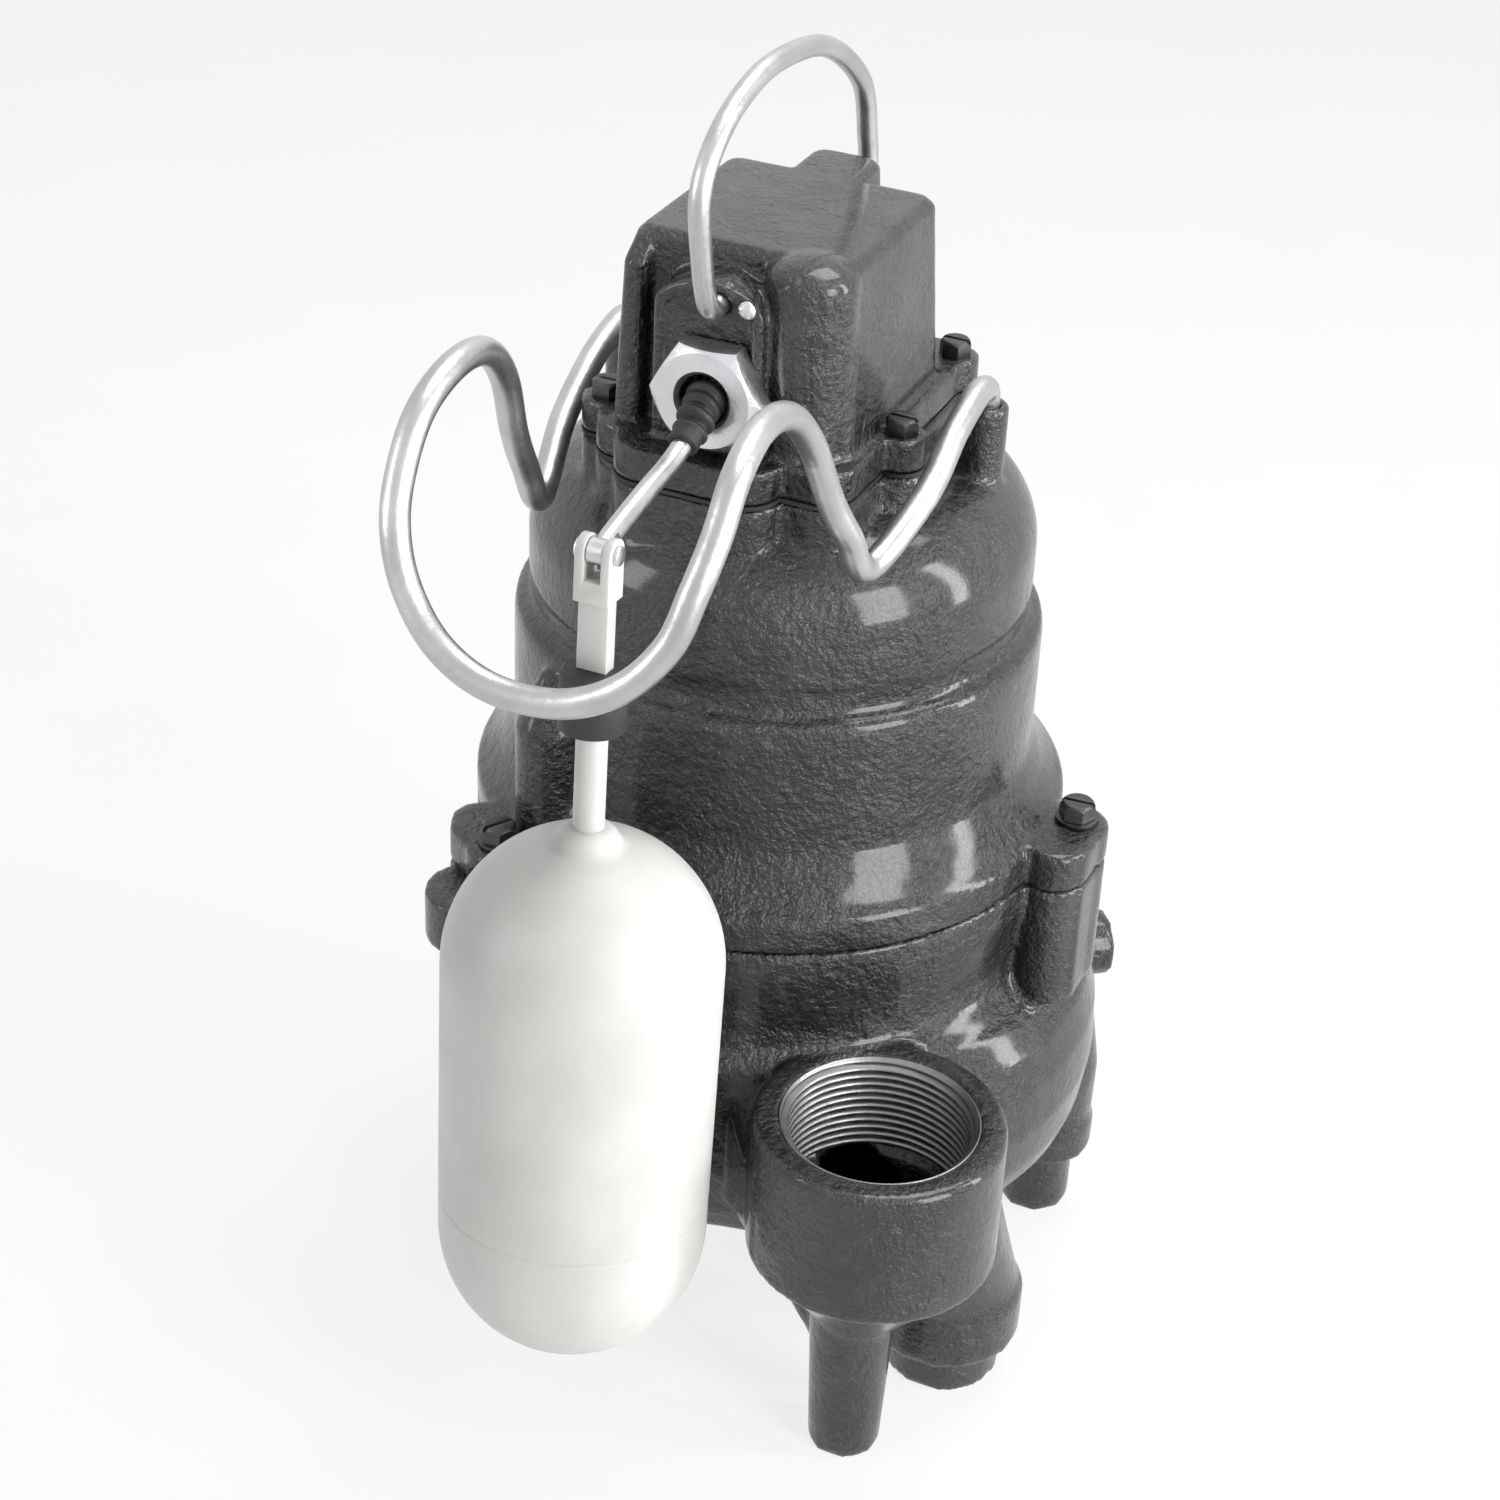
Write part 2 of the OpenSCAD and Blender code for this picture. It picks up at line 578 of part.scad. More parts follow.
module motor_housing() {
    color([0.15, 0.15, 0.16]) difference() {
        housing_outside();
        rotate_extrude() polygon([
            [0, joint_z - 5], [low_bore_r, joint_z - 5], [low_bore_r, joint_z + 20], [bore_r, joint_z + 20],
            [bore_r, corner_z], [corner_r, ceiling_low_z], [bush_hub_r, ceiling_low_z], [bush_hub_r, bush_z - 2],
            [bush_or, bush_z - 2], [bush_or, ceiling_low_z], [0, ceiling_low_z]]);
        translate([-150, -150, joint_z - 10]) cube([300, 300, 10]);
        for (a = lug_angles) at_angle(a, lug_pitch_r, joint_z - 1)
            cylinder(r = housing_bolt_r + fit_gap, h = lug_top_rise + 2);
        at_angle(lug_angles[1], lug_pitch_r + 0.4, joint_z + lug_top_rise + 0.5) cylinder(r = 6, h = 50);
        translate([wire_hole[0], wire_hole[1], ceiling_low_z - 1]) cylinder(r = wire_hole_r, h = 20);
        for (p = cover_bolts_at) translate([p[0], p[1], seat_z - 12]) cylinder(r = cover_bolt_r, h = 13);
        for (s = [-1, 1]) rotate([0, 0, guard_turn])
            translate([s * guard_boss[0], guard_boss[1], guard_boss_top_z - guard_bury])
                cylinder(r = guard_pin_r, h = guard_bury + 1);
        for (x = [-5, 5]) translate([x, bracket_foot_y, seat_z - 8]) cylinder(r = 1.5, h = 9);
    }
}

module housing_seal_ring() {
    color([0.08, 0.08, 0.08]) translate([0, 0, joint_z - cord_r]) rotate_extrude()
        translate([seal_groove_r, 0]) circle(cord_r - 0.02, $fn = 32);
}

module housing_bolts() {
    color([0.25, 0.25, 0.26]) for (a = lug_angles) at_angle(a, lug_pitch_r) {
        translate([0, 0, joint_z - 22]) cylinder(r = housing_bolt_r, h = 22 + lug_top_rise + 1);
        difference() {
            translate([0, 0, joint_z + lug_top_rise]) {
                cylinder(r = 5.4, h = 1.2);
                translate([0, 0, 1.2 - eps]) hex_head(8, 4.2);
            }
            translate([-6, -0.6, joint_z + lug_top_rise + 4]) cube([12, 1.2, 3]);
        }
    }
}

module bearing_bracket() {
    color([0.3, 0.3, 0.31]) difference() {
        union() {
            translate([0, 0, bracket_z]) cylinder(r = bracket_r, h = bracket_t);
            translate([0, 0, bracket_z - hub_h]) cylinder(r = hub_r, h = hub_h + 1);
        }
        translate([0, 0, bearing_z]) cylinder(r = bearing_or, h = 40);
        translate([0, 0, bracket_z - hub_h - 1]) cylinder(r = shaft_r + 4, h = 40);
        for (a = [0 : 120 : 240]) at_angle(a, 40, bracket_z - 1) cylinder(r = 6, h = bracket_t + 2);
    }
}

module stator_core() {
    color([0.45, 0.45, 0.47]) translate([0, 0, stator_z]) difference() {
        ring(bore_r, stator_bore_r, stack_len);
        for (a = [0 : 15 : 345]) rotate([0, 0, a]) translate([stator_bore_r + 2, -1.6, -1])
            cube([12, 3.2, stack_len + 2]);
    }
}

module stator_windings() {
    color([0.6, 0.3, 0.12]) {
        for (z = [stator_z - winding_h, stator_top_z]) translate([0, 0, z]) ring(winding_ro, winding_ri, winding_h);
        for (a = [0 : 15 : 345]) rotate([0, 0, a]) translate([stator_bore_r + 4, -1.4, stator_z - eps])
            cube([9, 2.8, stack_len + 2 * eps]);
    }
}

module rotor_core() {
    color([0.5, 0.5, 0.52]) translate([0, 0, stator_z]) ring(rotor_r, shaft_r, stack_len);
}

module rotor_end_rings() {
    color([0.75, 0.75, 0.76]) for (z = [stator_z - end_ring_t, stator_top_z])
        translate([0, 0, z]) ring(rotor_r - 1, rotor_r - 9, end_ring_t);
}

module shaft() {
    color([0.7, 0.7, 0.72]) {
        translate([0, 0, shaft_z]) cylinder(r = shaft_r, h = bush_z + bush_len - shaft_z - 1);
        translate([0, 0, shaft_z - nut_h - 0.5]) cylinder(r = 4, h = nut_h + 0.5 + eps);
    }
}

module upper_bush() {
    color([0.7, 0.5, 0.25]) translate([0, 0, bush_z]) ring(bush_or, shaft_r + run_gap, bush_len);
}

module ball_groove() {
    translate([0, 0, bearing_z + bearing_w / 2]) rotate_extrude()
        translate([ball_pitch_r, 0]) circle(ball_r + 0.05, $fn = 32);
}

module lower_bearing_outer() {
    color([0.65, 0.65, 0.68]) difference() {
        translate([0, 0, bearing_z]) ring(bearing_or, bearing_or - race_t, bearing_w);
        ball_groove();
    }
}

module lower_bearing_inner() {
    color([0.6, 0.6, 0.63]) difference() {
        translate([0, 0, bearing_z]) ring(shaft_r + race_t, shaft_r, bearing_w);
        ball_groove();
    }
}

// Balls joined by the cage that spaces them
module lower_bearing_balls() {
    color([0.8, 0.7, 0.4]) {
        for (i = [0 : ball_count - 1]) at_angle(i * 360 / ball_count, ball_pitch_r, bearing_z + bearing_w / 2)
            sphere(r = ball_r, $fn = 32);
        translate([0, 0, bearing_z + bearing_w / 2 - 0.6]) ring(ball_pitch_r + 0.8, ball_pitch_r - 0.8, 1.2);
    }
}

module seal_seat() {
    color([0.9, 0.88, 0.82]) translate([0, 0, ceiling_z - seat_ring_t]) ring(seat_bore_r, shaft_r + 1, seat_ring_t);
}

module seal_face() {
    color([0.2, 0.2, 0.2]) translate([0, 0, ceiling_z + run_gap]) ring(11, shaft_r, seal_face_t);
}

module seal_bellows() {
    color([0.12, 0.12, 0.12]) translate([0, 0, ceiling_z + run_gap + seal_face_t]) difference() {
        rotate_extrude() {
            square([9, bellows_h]);
            for (k = [0 : 3]) translate([9, 1.25 + 2.5 * k]) circle(1.2, $fn = 24);
        }
        translate([0, 0, -1]) cylinder(r = shaft_r, h = bellows_h + 2);
    }
}

module impeller() {
    color([0.55, 0.4, 0.2]) translate([0, 0, chamber_z + impeller_gap]) difference() {
        union() {
            translate([0, 0, impeller_h - shroud_t]) cylinder(r = impeller_r, h = shroud_t);
            cylinder(r = 12, h = impeller_h);
            for (i = [0 : vane_count - 1]) rotate([0, 0, i * 360 / vane_count]) intersection() {
                cylinder(r = impeller_r - 0.5, h = impeller_h - 1);
                translate([impeller_r * 0.42, -impeller_r * 0.2, 0])
                    ring(impeller_r * 0.55, impeller_r * 0.55 - 3.5, impeller_h - 1);
                translate([0, -impeller_r, 0]) cube([impeller_r, impeller_r, impeller_h - 1]);
            }
        }
        translate([0, 0, -1]) cylinder(r = shaft_r, h = impeller_h + 2);
        translate([0, 0, -1]) cylinder(r = 8.6, h = nut_sink + 1);
    }
}

module impeller_nut() {
    color([0.72, 0.72, 0.74]) translate([0, 0, shaft_z - nut_h]) difference() {
        cylinder(r = 8, h = nut_h, $fn = 6);
        translate([0, 0, -1]) cylinder(r = 4, h = nut_h + 2);
    }
}

// Body of the cover: drafted box, rear bump, arched panel, rib and column
module cover_box(inset, low, high) {
    hull() {
        slab(-cover_half_w - cover_draft + inset, cover_half_w + cover_draft - inset,
             cover_front_y - cover_draft + inset, cover_back_y + cover_draft - inset, 4, low);
        slab(-cover_half_w + inset, cover_half_w - inset, cover_front_y + inset, cover_back_y - inset, 4, high - 2);
        slab(-cover_half_w + inset + 2, cover_half_w - inset - 2, cover_front_y + inset + 2,
             cover_back_y - inset - 2, 3, high - eps);
    }
}

module cover_bump(inset, low, high) {
    hull() {
        slab(bump_x - bump_half_w - cover_draft + inset, bump_x + bump_half_w + cover_draft - inset,
             0, bump_back_y + cover_draft - inset, 4, low);
        slab(bump_x - bump_half_w + inset, bump_x + bump_half_w - inset, 0, bump_back_y - inset, 4, high - 1.5);
        slab(bump_x - bump_half_w + inset + 1.5, bump_x + bump_half_w - inset - 1.5,
             0, bump_back_y - inset - 1.5, 3, high - eps);
    }
}

// Arch in front view, extruded back from y
module arch(x0, x1, low, high, y, depth) {
    r = (x1 - x0) / 2;
    translate([0, y + depth, 0]) rotate([90, 0, 0]) linear_extrude(depth) {
        translate([x0, low]) square([x1 - x0, high - low - r * 0.55]);
        intersection() {
            translate([(x0 + x1) / 2, high - r * 0.55]) scale([1, 0.55]) circle(r);
            translate([x0, low]) square([x1 - x0, high - low]);
        }
    }
}

module switch_cover() {
    low = cover_side_z - 1;
    color([0.14, 0.14, 0.15]) difference() {
        union() {
            translate([0, 0, cover_base_z]) linear_extrude(cover_flange_t) flange_plan();
            cover_box(0, low, cover_top_z);
            cover_bump(0, low, cover_top_z);
            arch(panel_left, panel_right, low, cover_top_z - 5, panel_y, -panel_y + cover_front_y + 4);
            hull() {
                slab(-cover_half_w - 1, -cover_half_w + rib_w, rib_y - 2, -20, 2.5, low);
                slab(-cover_half_w, -cover_half_w + rib_w, rib_y, -20, 2.5, cover_top_z - 7);
                slab(-cover_half_w + 1, -cover_half_w + rib_w, rib_y + 5, -20, 2.5, cover_top_z - 1);
            }
            translate([column_at[0], column_at[1], low]) cylinder(r = column_r, h = cover_top_z - 4 - low);
            translate([column_at[0], column_at[1], cover_top_z - 4]) scale([1, 1, 0.5]) sphere(r = column_r);
            translate([bump_x, bump_back_y - 1, cord_z]) rotate([-90, 0, 0])
                cylinder(r = 10.5, h = cover_draft + 5);
        }
        cover_box(cover_wall, cover_base_z - eps, cover_top_z - cover_wall);
        cover_bump(cover_wall, cover_base_z - eps, cover_top_z - cover_wall);
        translate([panel_left + cover_wall, panel_y + cover_wall, cover_base_z - 1])
            cube([panel_right - panel_left - 2 * cover_wall, 20, cover_h - 12]);
        // recessed field of the front panel
        arch(panel_left + 2.5, panel_right - 2.5, low + 8, cover_top_z - 7.5, panel_y - 1, 1.8);
        translate([0, panel_y - 1, gland_z]) rotate([-90, 0, 0]) cylinder(r = 7, h = cover_wall + 4);
        translate([bump_x, bump_back_y - 12, cord_z]) rotate([-90, 0, 0]) cylinder(r = 7, h = 30);
        for (p = cover_bolts_at) translate([p[0], p[1], cover_base_z - 1])
            cylinder(r = cover_bolt_r + fit_gap, h = cover_flange_t + 2);
        for (p = cover_bolts_at) translate([p[0], p[1], cover_side_z]) cylinder(r = 4.4, h = 20);
        translate([0, bail_front - 1, bail_z]) rotate([-90, 0, 0]) cylinder(r = bail_hole_r, h = 5.6);
        translate([0, bail_back + 1, bail_z]) rotate([90, 0, 0]) cylinder(r = bail_hole_r, h = 5.6);
        translate([7, panel_y - 1, bail_z]) rotate([-90, 0, 0]) cylinder(r = rivet_r + fit_gap, h = 6.5);
    }
    // bosses that carry the bail ends and the rivet
    color([0.14, 0.14, 0.15]) difference() {
        union() {
            translate([0, panel_y + cover_wall - 1, bail_z]) rotate([-90, 0, 0]) cylinder(r = 5, h = 12);
            translate([0, bump_back_y + cover_draft - 1, bail_z]) rotate([90, 0, 0]) cylinder(r = 5, h = 8);
        }
        translate([0, bail_front - 1, bail_z]) rotate([-90, 0, 0]) cylinder(r = bail_hole_r, h = 5.6);
        translate([0, bail_back + 1, bail_z]) rotate([90, 0, 0]) cylinder(r = bail_hole_r, h = 5.6);
        translate([7, panel_y - 1, bail_z]) rotate([-90, 0, 0]) cylinder(r = rivet_r + fit_gap, h = 6.5);
    }
}

module cover_gasket() {
    color([0.1, 0.1, 0.1]) translate([0, 0, seat_z]) linear_extrude(cover_gasket_t) difference() {
        flange_plan();
        plan(-cover_half_w, cover_half_w, cover_front_y - 2, cover_back_y, 4);
        plan(bump_x - bump_half_w, bump_x + bump_half_w, 0, bump_back_y, 4);
        plan(panel_left + cover_wall, panel_right - cover_wall, panel_y + cover_wall, 0, 2);
        for (p = cover_bolts_at) translate(p) circle(cover_bolt_r + fit_gap);
    }
}

module cover_bolts() {
    color([0.3, 0.3, 0.31]) for (p = cover_bolts_at) translate([p[0], p[1], 0]) difference() {
        union() {
            translate([0, 0, seat_z - 11]) cylinder(r = cover_bolt_r, h = cover_side_z - seat_z + 12);
            translate([0, 0, cover_side_z]) hex_head(7, 4);
        }
        translate([-5, -0.6, cover_side_z + 3]) cube([10, 1.2, 2]);
    }
}

module cord_inlet() {
    color([0.08, 0.08, 0.08]) translate([bump_x, bump_back_y, cord_z]) rotate([-90, 0, 0]) difference() {
        union() {
            translate([0, 0, -4]) cylinder(r = 7, h = 12);
            translate([0, 0, cover_draft + 4]) cylinder(r = 9.5, h = 5);
            translate([0, 0, cover_draft + 9 - eps]) cylinder(r1 = 9.5, r2 = 6.5, h = 12);
        }
        translate([0, 0, -5]) cylinder(r = 4.5, h = 40);
    }
}

module thermal_protector() {
    color([0.75, 0.75, 0.76]) at_angle(200, 40, stator_top_z + winding_h) {
        cylinder(r = 8, h = 4);
        translate([-3, -2, 4 - eps]) cube([2, 4, 4]);
        translate([3, -2, 4 - eps]) cube([2, 4, 4]);
    }
}

module switch_bracket() {
    color([0.65, 0.65, 0.66]) difference() {
        union() {
            translate([-8, -8, seat_z]) cube([16, 18, 2]);
            translate([-8, -8, seat_z]) cube([16, 2, shelf_z + shelf_t - seat_z]);
            translate([-7.1, pivot[1] + 2, shelf_z]) cube([14.2, -8 - pivot[1], shelf_t]);
            for (s = [-1, 1]) translate([s * (cheek_x + cheek_t / 2) - cheek_t / 2, pivot[1] - 2, shelf_z])
                cube([cheek_t, 9, pivot[2] + 3 - shelf_z]);
        }
        for (x = [-5, 5]) translate([x, bracket_foot_y, seat_z - 1]) cylinder(r = 1.5 + fit_gap, h = 4);
        translate([-10, pivot[1], pivot[2]]) rotate([0, 90, 0]) cylinder(r = pivot_r, h = 20);
    }
}

module switch_body() {
    color([0.1, 0.1, 0.1]) translate([-4, pivot[1] + 7.5, shelf_z + shelf_t]) difference() {
        union() {
            cube([8, 20, switch_h]);
            for (y = [8, 13]) translate([2.5, y, switch_h - eps]) cube([3, 1, 3]);
        }
        translate([4, plunger_at[1] - pivot[1] - 7.5, switch_h - 7])
            cylinder(r = plunger_r + run_gap, h = 10);
    }
}

module switch_plunger() {
    color([0.8, 0.2, 0.15]) translate([plunger_at[0], plunger_at[1], switch_top_z - 1.5])
        cylinder(r = plunger_r, h = pivot[2] - arm_r - plunger_gap - switch_top_z + 1.5);
}

module switch_screws() {
    color([0.7, 0.7, 0.72]) for (x = [-5, 5]) translate([x, bracket_foot_y, 0]) {
        translate([0, 0, seat_z - 7]) cylinder(r = 1.5, h = 9);
        translate([0, 0, seat_z + 2]) cylinder(r = 2.6, h = 2);
    }
}

module lead_wires() {
    color([0.6, 0.1, 0.1]) for (k = [-1, 0, 1]) tube(curve([
        [wire_hole[0] + 3 * k, winding_ri + 4, stator_top_z + winding_h],
        [wire_hole[0] + 3 * k, winding_ri + 3, stator_top_z + winding_h + 5],
        [wire_hole[0] + 2.6 * k, wire_hole[1], ceiling_low_z + 1], [wire_hole[0] + 2.6 * k, wire_hole[1], seat_z + 4],
        [1.5 * k, 16, seat_z + 13], [2 * k, 0, shelf_z + shelf_t + 6],
        [2 * k, pivot[1] + 27.8, shelf_z + shelf_t + 4]], 5), 0.9, 10, [1, 0, 0]);
}

module gland_nut() {
    color([0.75, 0.75, 0.77]) translate([0, panel_y, gland_z]) rotate([90, 0, 0]) difference() {
        union() {
            intersection() {
                cylinder(r = gland_flats / sqrt(3), h = gland_head_t, $fn = 6);
                union() {
                    cylinder(r = gland_flats, h = gland_head_t - 2);
                    translate([0, 0, gland_head_t - 2 - eps])
                        cylinder(r1 = gland_flats / sqrt(3), r2 = gland_flats / 2 - 0.6, h = 2 + eps);
                }
            }
            translate([0, 0, -cover_wall + 1]) cylinder(r = 7, h = cover_wall);
        }
        translate([0, 0, -10]) cylinder(r = gland_hole_r, h = 30);
        translate([0, 0, gland_head_t - 1]) cylinder(r1 = gland_hole_r, r2 = gland_hole_r + 1, h = 1.01);
    }
}

module gland_washer() {
    color([0.7, 0.7, 0.72]) translate([0, panel_y + cover_wall, gland_z]) intersection() {
        rotate([-90, 0, 0]) ring(9, gland_hole_r, 0.5);
        translate([-7.1, -1, -10]) cube([14.2, 3, 20]);
    }
}

// Rubber boot: rings that shrink along the lever
module lever_boot() {
    color([0.07, 0.07, 0.07]) difference() {
        union() {
            for (k = [0 : 3]) translate(boot_at(k)) rotate([90 + boot_tilt(k), 0, 0]) rotate_extrude()
                translate([boot_ring_r[k] - 1.3, 0]) circle(1.3, $fn = 24);
            for (k = [0 : 3]) translate(boot_at(k)) rotate([90 + boot_tilt(k), 0, 0])
                translate([0, 0, -1.6]) cylinder(r = boot_ring_r[k] - 1.1, h = 3.2);
            translate(boot_at(4)) rotate([90 + boot_tilt(4), 0, 0])
                cylinder(r = lever_r + 1.2, h = 2.5, center = true);
        }
        tube(curve(lever_path, 6), lever_r, 24, [1, 0, 0]);
    }
}

module lever_rod() {
    color([0.7, 0.7, 0.71]) difference() {
        union() {
            tube(curve(lever_path, 6), lever_r, 24, [1, 0, 0]);
            translate([-cheek_x + cheek_gap, pivot[1], pivot[2]]) rotate([0, 90, 0])
                cylinder(r = pivot_eye_r, h = 2 * (cheek_x - cheek_gap));
            translate(pivot) rotate([-90, 0, 0]) cylinder(r = arm_r, h = arm_reach - arm_r);
            translate([0, pivot[1] + arm_reach - arm_r, pivot[2]]) sphere(r = arm_r);
            translate([-eye_half_w, pin[1], pin[2]]) rotate([0, 90, 0]) cylinder(r = eye_r, h = 2 * eye_half_w);
        }
        translate([-10, pivot[1], pivot[2]]) rotate([0, 90, 0]) cylinder(r = pivot_r + run_gap, h = 20);
        translate([-10, pin[1], pin[2]]) rotate([0, 90, 0]) cylinder(r = pin_r + pin_gap, h = 20);
        for (s = [-1, 1]) translate([s > 0 ? eye_half_w : -eye_half_w - 5, pin[1] - 5, pin[2] - 5])
            cube([5, 10, 10]);
    }
}

module lever_pivot_pin() {
    color([0.75, 0.75, 0.76]) translate([-cheek_x - cheek_t, pivot[1], pivot[2]]) rotate([0, 90, 0])
        cylinder(r = pivot_r, h = 2 * (cheek_x + cheek_t));
}

// Places a part of the float, from the frame of its pin
module hang() {
    translate(pin) rotate([-float_lean, -side_play, 0]) children();
}

module float_clip() {
    color([0.9, 0.9, 0.88]) hang() difference() {
        union() {
            translate([-clip_half_w, 0, 0]) rotate([0, 90, 0]) cylinder(r = clip_half_d, h = 2 * clip_half_w);
            translate([-clip_half_w, -clip_half_d, -clip_drop]) cube([2 * clip_half_w, 2 * clip_half_d, clip_drop]);
            translate([-bar_half_w, -bar_half_t, -bar_len]) cube([2 * bar_half_w, 2 * bar_half_t, bar_len - 5]);
        }
        translate([-eye_half_w - cheek_gap, -10, -eye_r - 3]) cube([2 * (eye_half_w + cheek_gap), 30, 20]);
        translate([-10, 0, 0]) rotate([0, 90, 0]) cylinder(r = pin_r, h = 20);
        translate([-bar_half_w - 1, bar_half_t - 0.8, -bar_len + 4]) cube([1.6, 1, bar_len - clip_drop - 6]);
    }
}

module clip_pin() {
    color([0.8, 0.8, 0.81]) hang() {
        translate([-clip_half_w, 0, 0]) rotate([0, 90, 0]) cylinder(r = pin_r, h = 2 * clip_half_w);
        for (s = [-1, 1]) translate([s > 0 ? clip_half_w : -clip_half_w - 1, 0, 0]) rotate([0, 90, 0])
            cylinder(r = 2.2, h = 1);
    }
}

module float_collar() {
    color([0.08, 0.08, 0.08]) hang() translate([0, 0, collar_z - collar_h]) difference() {
        union() {
            cylinder(r = collar_r, h = collar_h - 1);
            translate([0, 0, collar_h - 1 - eps]) cylinder(r1 = collar_r, r2 = collar_r - 1, h = 1);
        }
        translate([0, 0, -1]) cylinder(r = float_rod_r, h = collar_h - 3);
    }
}

module float_rod() {
    color([0.9, 0.9, 0.88]) hang() translate([0, 0, shell_z - 4])
        cylinder(r = float_rod_r, h = collar_z - 4 - shell_z + 4);
}

// Half section of the float, shrunk by inset
module float_half(inset) {
    r = float_r - inset;
    intersection() {
        union() {
            translate([0, upper_z]) circle(r);
            translate([0, lower_z]) scale([1, 1.04]) circle(r - 0.5);
            polygon([[0, lower_z], [r - 0.5, lower_z], [r, upper_z], [0, upper_z]]);
        }
        translate([0, -400]) square([60, 800]);
    }
}

module float_shell() {
    color([0.93, 0.93, 0.9]) hang() difference() {
        rotate_extrude() {
            float_half(0);
            translate([0, upper_z]) square([neck_r, shell_z + neck_h - upper_z]);
        }
        rotate_extrude() float_half(float_wall);
        translate([0, 0, shell_z - 4]) cylinder(r = float_rod_r, h = 20);
        translate([0, 0, weld_z - 200]) cylinder(r = 60, h = 200);
    }
}

module float_end_cap() {
    color([0.9, 0.9, 0.87]) hang() difference() {
        rotate_extrude() {
            intersection() {
                float_half(0);
                translate([0, weld_z - 200]) square([60, 200]);
            }
            translate([float_r - 1.4, weld_z - 1]) circle(0.8, $fn = 24);
        }
        rotate_extrude() float_half(float_wall);
        translate([0, 0, weld_z]) cylinder(r = 60, h = 20);
    }
}

module guard_wire() {
    color([0.8, 0.8, 0.82]) rotate([0, 0, guard_turn])
        tube(curve(concat(guard_tucked, guard_mirror), 5), guard_r, 20, [1, 0, 0]);
}

module bail_handle() {
    color([0.78, 0.78, 0.8]) tube(curve(bail_path, 6), bail_r, 20, [1, 0, 0]);
}

module bail_rivet() {
    color([0.75, 0.75, 0.76]) translate([7, panel_y, bail_z]) rotate([90, 0, 0]) {
        translate([0, 0, -5]) cylinder(r = rivet_r, h = 5 + eps);
        intersection() {
            translate([0, 0, -1.2]) sphere(r = 2.6);
            cylinder(r = 4, h = 3);
        }
    }
}

module housing_plug() {
    color([0.5, 0.5, 0.5]) at_angle(port_angle, port_reach - 4, port_z) rotate([0, 90, 0]) difference() {
        translate([0, 0, -5]) cylinder(r = 4.5, h = 6);
        translate([0, 0, -1]) cylinder(r = 2.4, h = 4, $fn = 6);
    }
}

volute();
suction_plate();
suction_plate_gasket();
suction_plate_screws();
motor_housing();
housing_seal_ring();
housing_bolts();
bearing_bracket();
stator_core();
stator_windings();
rotor_core();
rotor_end_rings();
shaft();
upper_bush();
lower_bearing_outer();
lower_bearing_inner();
lower_bearing_balls();
seal_seat();
seal_face();
seal_bellows();
impeller();
impeller_nut();
switch_cover();
cover_gasket();
cover_bolts();
cord_inlet();
thermal_protector();
switch_bracket();
switch_body();
switch_plunger();
switch_screws();
lead_wires();
gland_nut();
gland_washer();
lever_boot();
lever_rod();
float_clip();
clip_pin();
float_collar();
float_rod();
float_shell();
float_end_cap();
lever_pivot_pin();
guard_wire();
bail_handle();
bail_rivet();
housing_plug();
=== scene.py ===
import json
import math

import bmesh
import bpy
from mathutils import Matrix, Vector


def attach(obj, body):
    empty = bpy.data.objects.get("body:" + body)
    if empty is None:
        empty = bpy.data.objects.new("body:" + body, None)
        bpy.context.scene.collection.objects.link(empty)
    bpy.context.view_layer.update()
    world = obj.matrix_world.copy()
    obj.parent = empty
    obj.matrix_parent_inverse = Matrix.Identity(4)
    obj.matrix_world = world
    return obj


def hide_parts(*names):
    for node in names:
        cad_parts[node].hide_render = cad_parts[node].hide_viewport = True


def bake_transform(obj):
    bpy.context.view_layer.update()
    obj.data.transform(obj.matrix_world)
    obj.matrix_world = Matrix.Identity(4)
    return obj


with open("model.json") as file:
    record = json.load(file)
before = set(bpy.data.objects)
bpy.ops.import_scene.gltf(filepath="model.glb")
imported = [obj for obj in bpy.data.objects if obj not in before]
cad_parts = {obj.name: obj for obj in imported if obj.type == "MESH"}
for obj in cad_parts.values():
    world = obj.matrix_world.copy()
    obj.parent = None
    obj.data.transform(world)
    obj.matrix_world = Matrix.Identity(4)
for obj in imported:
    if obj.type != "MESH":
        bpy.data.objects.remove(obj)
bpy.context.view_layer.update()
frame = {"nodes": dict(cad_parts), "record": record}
nodes = frame["nodes"]
scene = bpy.context.scene
print("frame loaded")


cameraSettings = {
    "azimuth": 23.0,
    "elevation": 31.74,
    "roll": 2.75,
    "lens": 72.31,
    "sensor": 36,
    "clip": (0.05, 20),
    "aim": (0.0652, -0.0767, 0.065),
    "aimRight": 0.03138,
    "aimUp": -0.08678,
    "depth": 0.7109,
}


def placeCamera(s):
    azimuth, elevation, roll = (math.radians(s[k]) for k in ("azimuth", "elevation", "roll"))
    back = Vector((
        math.sin(azimuth) * math.cos(elevation),
        -math.cos(azimuth) * math.cos(elevation),
        math.sin(elevation),
    ))
    level = Vector((math.cos(azimuth), math.sin(azimuth), 0))
    upright = back.cross(level)
    right = level * math.cos(roll) + upright * math.sin(roll)
    up = upright * math.cos(roll) - level * math.sin(roll)
    place = Vector(s["aim"]) - right * s["aimRight"] - up * s["aimUp"] + back * s["depth"]
    data = bpy.data.cameras.new("camera")
    data.lens = s["lens"]
    data.sensor_width = s["sensor"]
    data.clip_start, data.clip_end = s["clip"]
    camera = bpy.data.objects.new("camera", data)
    scene.collection.objects.link(camera)
    camera.matrix_world = Matrix.Translation(place) @ Matrix((right, up, back)).transposed().to_4x4()
    scene.camera = camera


placeCamera(cameraSettings)
scene.view_settings.view_transform = "Standard"


